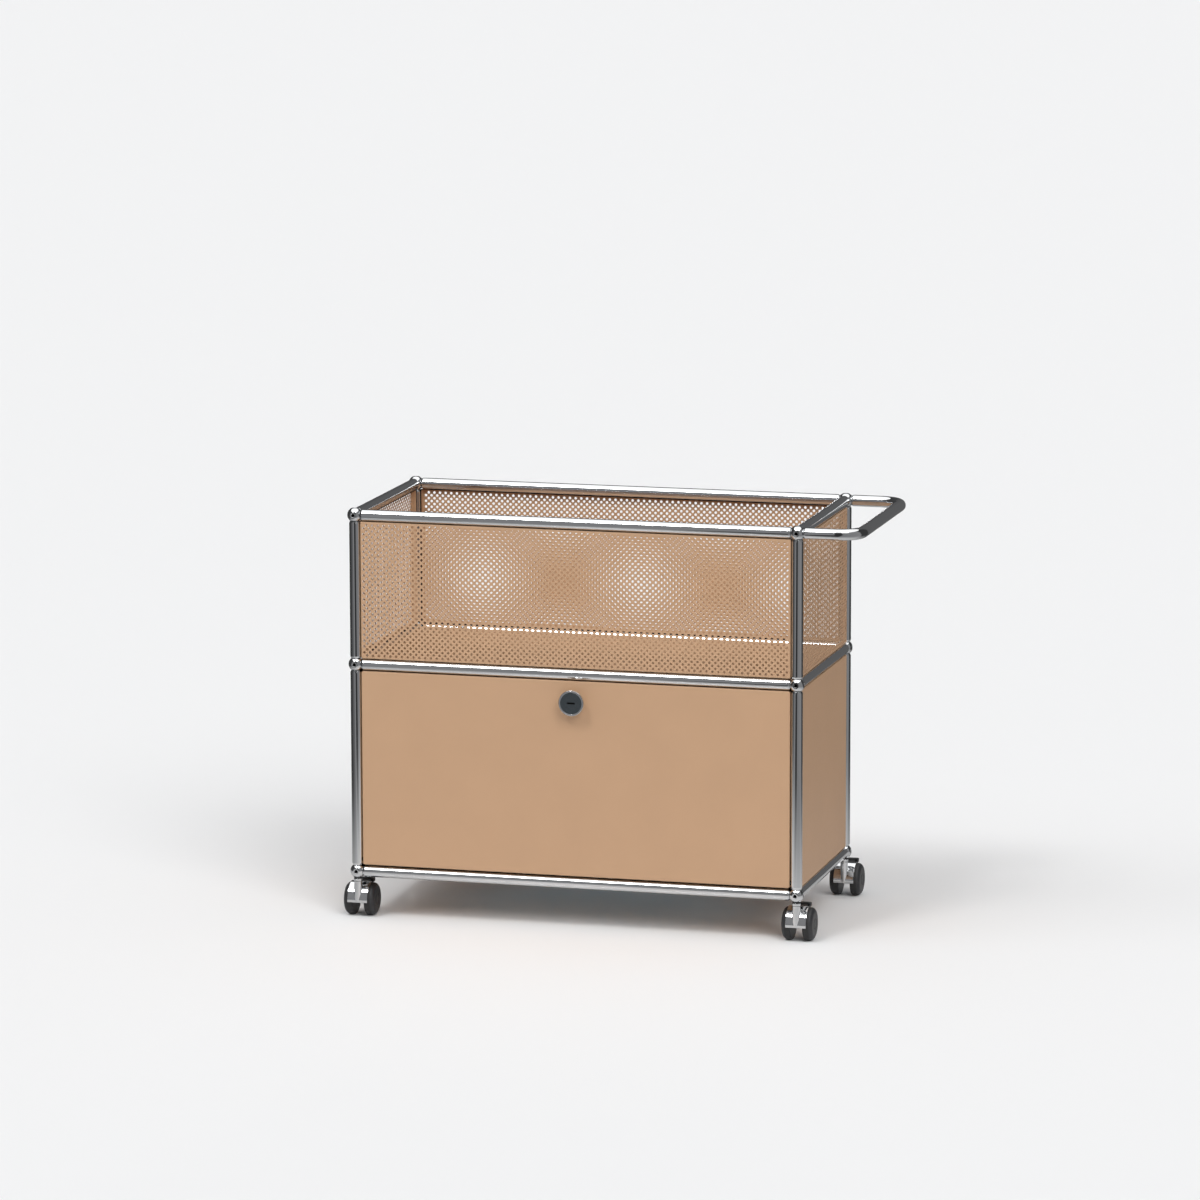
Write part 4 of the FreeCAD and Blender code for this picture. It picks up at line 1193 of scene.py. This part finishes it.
def shade_fill(tree):
    """A faint cool glow of the floor below the cabinet, against the warm light that the
    cabinet's underside throws on it."""
    place = tree.nodes.new("ShaderNodeTexCoord")
    mapping = tree.nodes.new("ShaderNodeMapping")
    middle = ((LEFT + RIGHT) / 2, (FRONT + REAR) / 2)
    reach = (SHADE_FILL_SHARES[0] * (RIGHT - LEFT), SHADE_FILL_SHARES[1] * (REAR - FRONT))
    mapping.inputs["Location"].default_value = (-middle[0] / reach[0], -middle[1] / reach[1], 0)
    mapping.inputs["Scale"].default_value = (1 / reach[0], 1 / reach[1], 1)
    tree.links.new(place.outputs["Object"], mapping.inputs["Vector"])
    fade = fading(tree, mapping.outputs["Vector"], (SHADE_FADE_SHARE, 1), (1, 0))
    glow = tree.nodes.new("ShaderNodeEmission")
    glow.inputs["Color"].default_value = SHADE_FILL
    strength = computed(tree, "MULTIPLY", fade, seen_directly(tree))
    tree.links.new(strength, glow.inputs["Strength"])
    return glow.outputs["Emission"]


def floor_material():
    material, tree = stage_material("studio_floor")
    matt = tree.nodes.new("ShaderNodeBsdfDiffuse")
    matt.inputs["Color"].default_value = BACKDROP
    gloss = tree.nodes.new("ShaderNodeBsdfGlossy")
    gloss.inputs["Roughness"].default_value = FLOOR_ROUGHNESS
    mix = mixed(tree, matt.outputs["BSDF"], gloss.outputs["BSDF"])
    mix.inputs["Fac"].default_value = FLOOR_SHINE
    both = tree.nodes.new("ShaderNodeAddShader")
    tree.links.new(mix.outputs["Shader"], both.inputs[0])
    tree.links.new(shade_fill(tree), both.inputs[1])
    tree.links.new(both.outputs["Shader"], tree.nodes["Material Output"].inputs["Surface"])
    return material


def surround_glow(tree):
    """An emission that changes with the direction from the trolley."""
    place = tree.nodes.new("ShaderNodeTexCoord")
    mapping = tree.nodes.new("ShaderNodeMapping")
    mapping.inputs["Scale"].default_value = (1, -1, 1)
    tree.links.new(place.outputs["Object"], mapping.inputs["Vector"])
    parts = tree.nodes.new("ShaderNodeSeparateXYZ")
    tree.links.new(mapping.outputs["Vector"], parts.inputs["Vector"])
    azimuth = computed(tree, "ARCTAN2", parts.outputs["X"], parts.outputs["Y"])
    share = tree.nodes.new("ShaderNodeMapRange")
    set_range(share, (-math.pi, math.pi), (0, 1))
    tree.links.new(azimuth, share.inputs["Value"])
    ramp = tree.nodes.new("ShaderNodeValToRGB")
    stops = ramp.color_ramp.elements
    for n, (angle, grey) in enumerate(SURROUND):
        position = (angle + 180) / 360
        stop = stops[n] if n < 2 else stops.new(position)
        stop.position = position
        stop.color = (grey, grey, SURROUND_BLUE * grey, 1)
    tree.links.new(share.outputs["Result"], ramp.inputs["Fac"])
    glow = tree.nodes.new("ShaderNodeEmission")
    tree.links.new(ramp.outputs["Color"], glow.inputs["Color"])
    return glow.outputs["Emission"]


def dark_floor():
    """The floor fades to dark away from the trolley, as its mirrors show it."""
    material, tree = stage_material("studio_far_floor")
    clear = tree.nodes.new("ShaderNodeBsdfTransparent")
    place = tree.nodes.new("ShaderNodeTexCoord")
    mix = mixed(tree, clear.outputs["BSDF"], surround_glow(tree))
    fade = fading(tree, place.outputs["Object"], DARK_FLOOR_FADE, (0, 1))
    tree.links.new(fade, mix.inputs["Fac"])
    tree.links.new(mix.outputs["Shader"], tree.nodes["Material Output"].inputs["Surface"])
    shape = flat_shape(DARK_FLOOR_REACH, DARK_FLOOR_LEVEL)
    reflected_only(stage_object("studio_far_floor", shape, material))


def dark_surround():
    """A low dark band all round, far out of sight: what gives chrome its dark lines."""
    material, tree = stage_material("studio_surround")
    tree.links.new(surround_glow(tree), tree.nodes["Material Output"].inputs["Surface"])
    shape = Shape()
    turns = full_turn(SURROUND_SIDES)
    rings = []
    for elevation in (0, SURROUND_TOP):
        level = SURROUND_DISTANCE * math.tan(math.radians(elevation))
        ring = [(SURROUND_DISTANCE * math.cos(a), SURROUND_DISTANCE * math.sin(a), level) for a in turns]
        rings.append(shape.add(ring))
    shape.bridge(*rings)
    reflected_only(stage_object("studio_surround", shape, material))


def world():
    scene_world = bpy.data.worlds.new("studio")
    bpy.context.scene.world = scene_world
    scene_world.use_nodes = True
    tree = scene_world.node_tree
    ambient = tree.nodes["Background"]
    ambient.inputs["Color"].default_value = AMBIENT
    ambient.inputs["Strength"].default_value = AMBIENT_STRENGTH
    backdrop = tree.nodes.new("ShaderNodeBackground")
    backdrop.inputs["Color"].default_value = BACKDROP
    mix = mixed(tree, ambient.outputs["Background"], backdrop.outputs["Background"])
    tree.links.new(seen_directly(tree), mix.inputs["Fac"])
    tree.links.new(mix.outputs["Shader"], tree.nodes["World Output"].inputs["Surface"])


def lamp(name, azimuth, elevation, spread, strength):
    """A soft light far away: azimuth 0 shines from the front, 90 from the right."""
    light = bpy.data.lights.new(name, "SUN")
    light.energy = strength
    light.angle = math.radians(spread)
    thing = bpy.data.objects.new(name, light)
    bpy.context.scene.collection.objects.link(thing)
    a, e = math.radians(azimuth), math.radians(elevation)
    towards = Vector((math.sin(a) * math.cos(e), -math.cos(a) * math.cos(e), math.sin(e)))
    thing.rotation_euler = towards.to_track_quat("Z", "Y").to_euler()


def studio():
    stage_object("studio_floor", flat_shape(FLOOR_REACH, 0), floor_material())
    dark_floor()
    dark_surround()
    world()
    for light in LAMPS:
        lamp(*light)


def camera():
    data = bpy.data.cameras.new("photo_camera")
    data.lens = CAMERA_LENS
    data.sensor_width = CAMERA_SENSOR
    data.clip_end = CAMERA_REACH
    thing = bpy.data.objects.new("photo_camera", data)
    bpy.context.scene.collection.objects.link(thing)
    thing.location = Vector((LEFT, FRONT, LOW)) + Vector(CAMERA_PLACE)
    upright = Vector(CAMERA_HEADING).to_track_quat("-Z", "Y").to_matrix()
    roll = Matrix.Rotation(math.radians(CAMERA_ROLL), 3, "Z")
    thing.rotation_euler = (upright @ roll).to_euler()
    bpy.context.scene.camera = thing


bpy.context.scene.view_settings.view_transform = "Standard"
studio()
camera()
dress_nodes()
make_frame()
make_panels()
make_door()
make_lock()
make_castors()

bpy.context.view_layer.update()
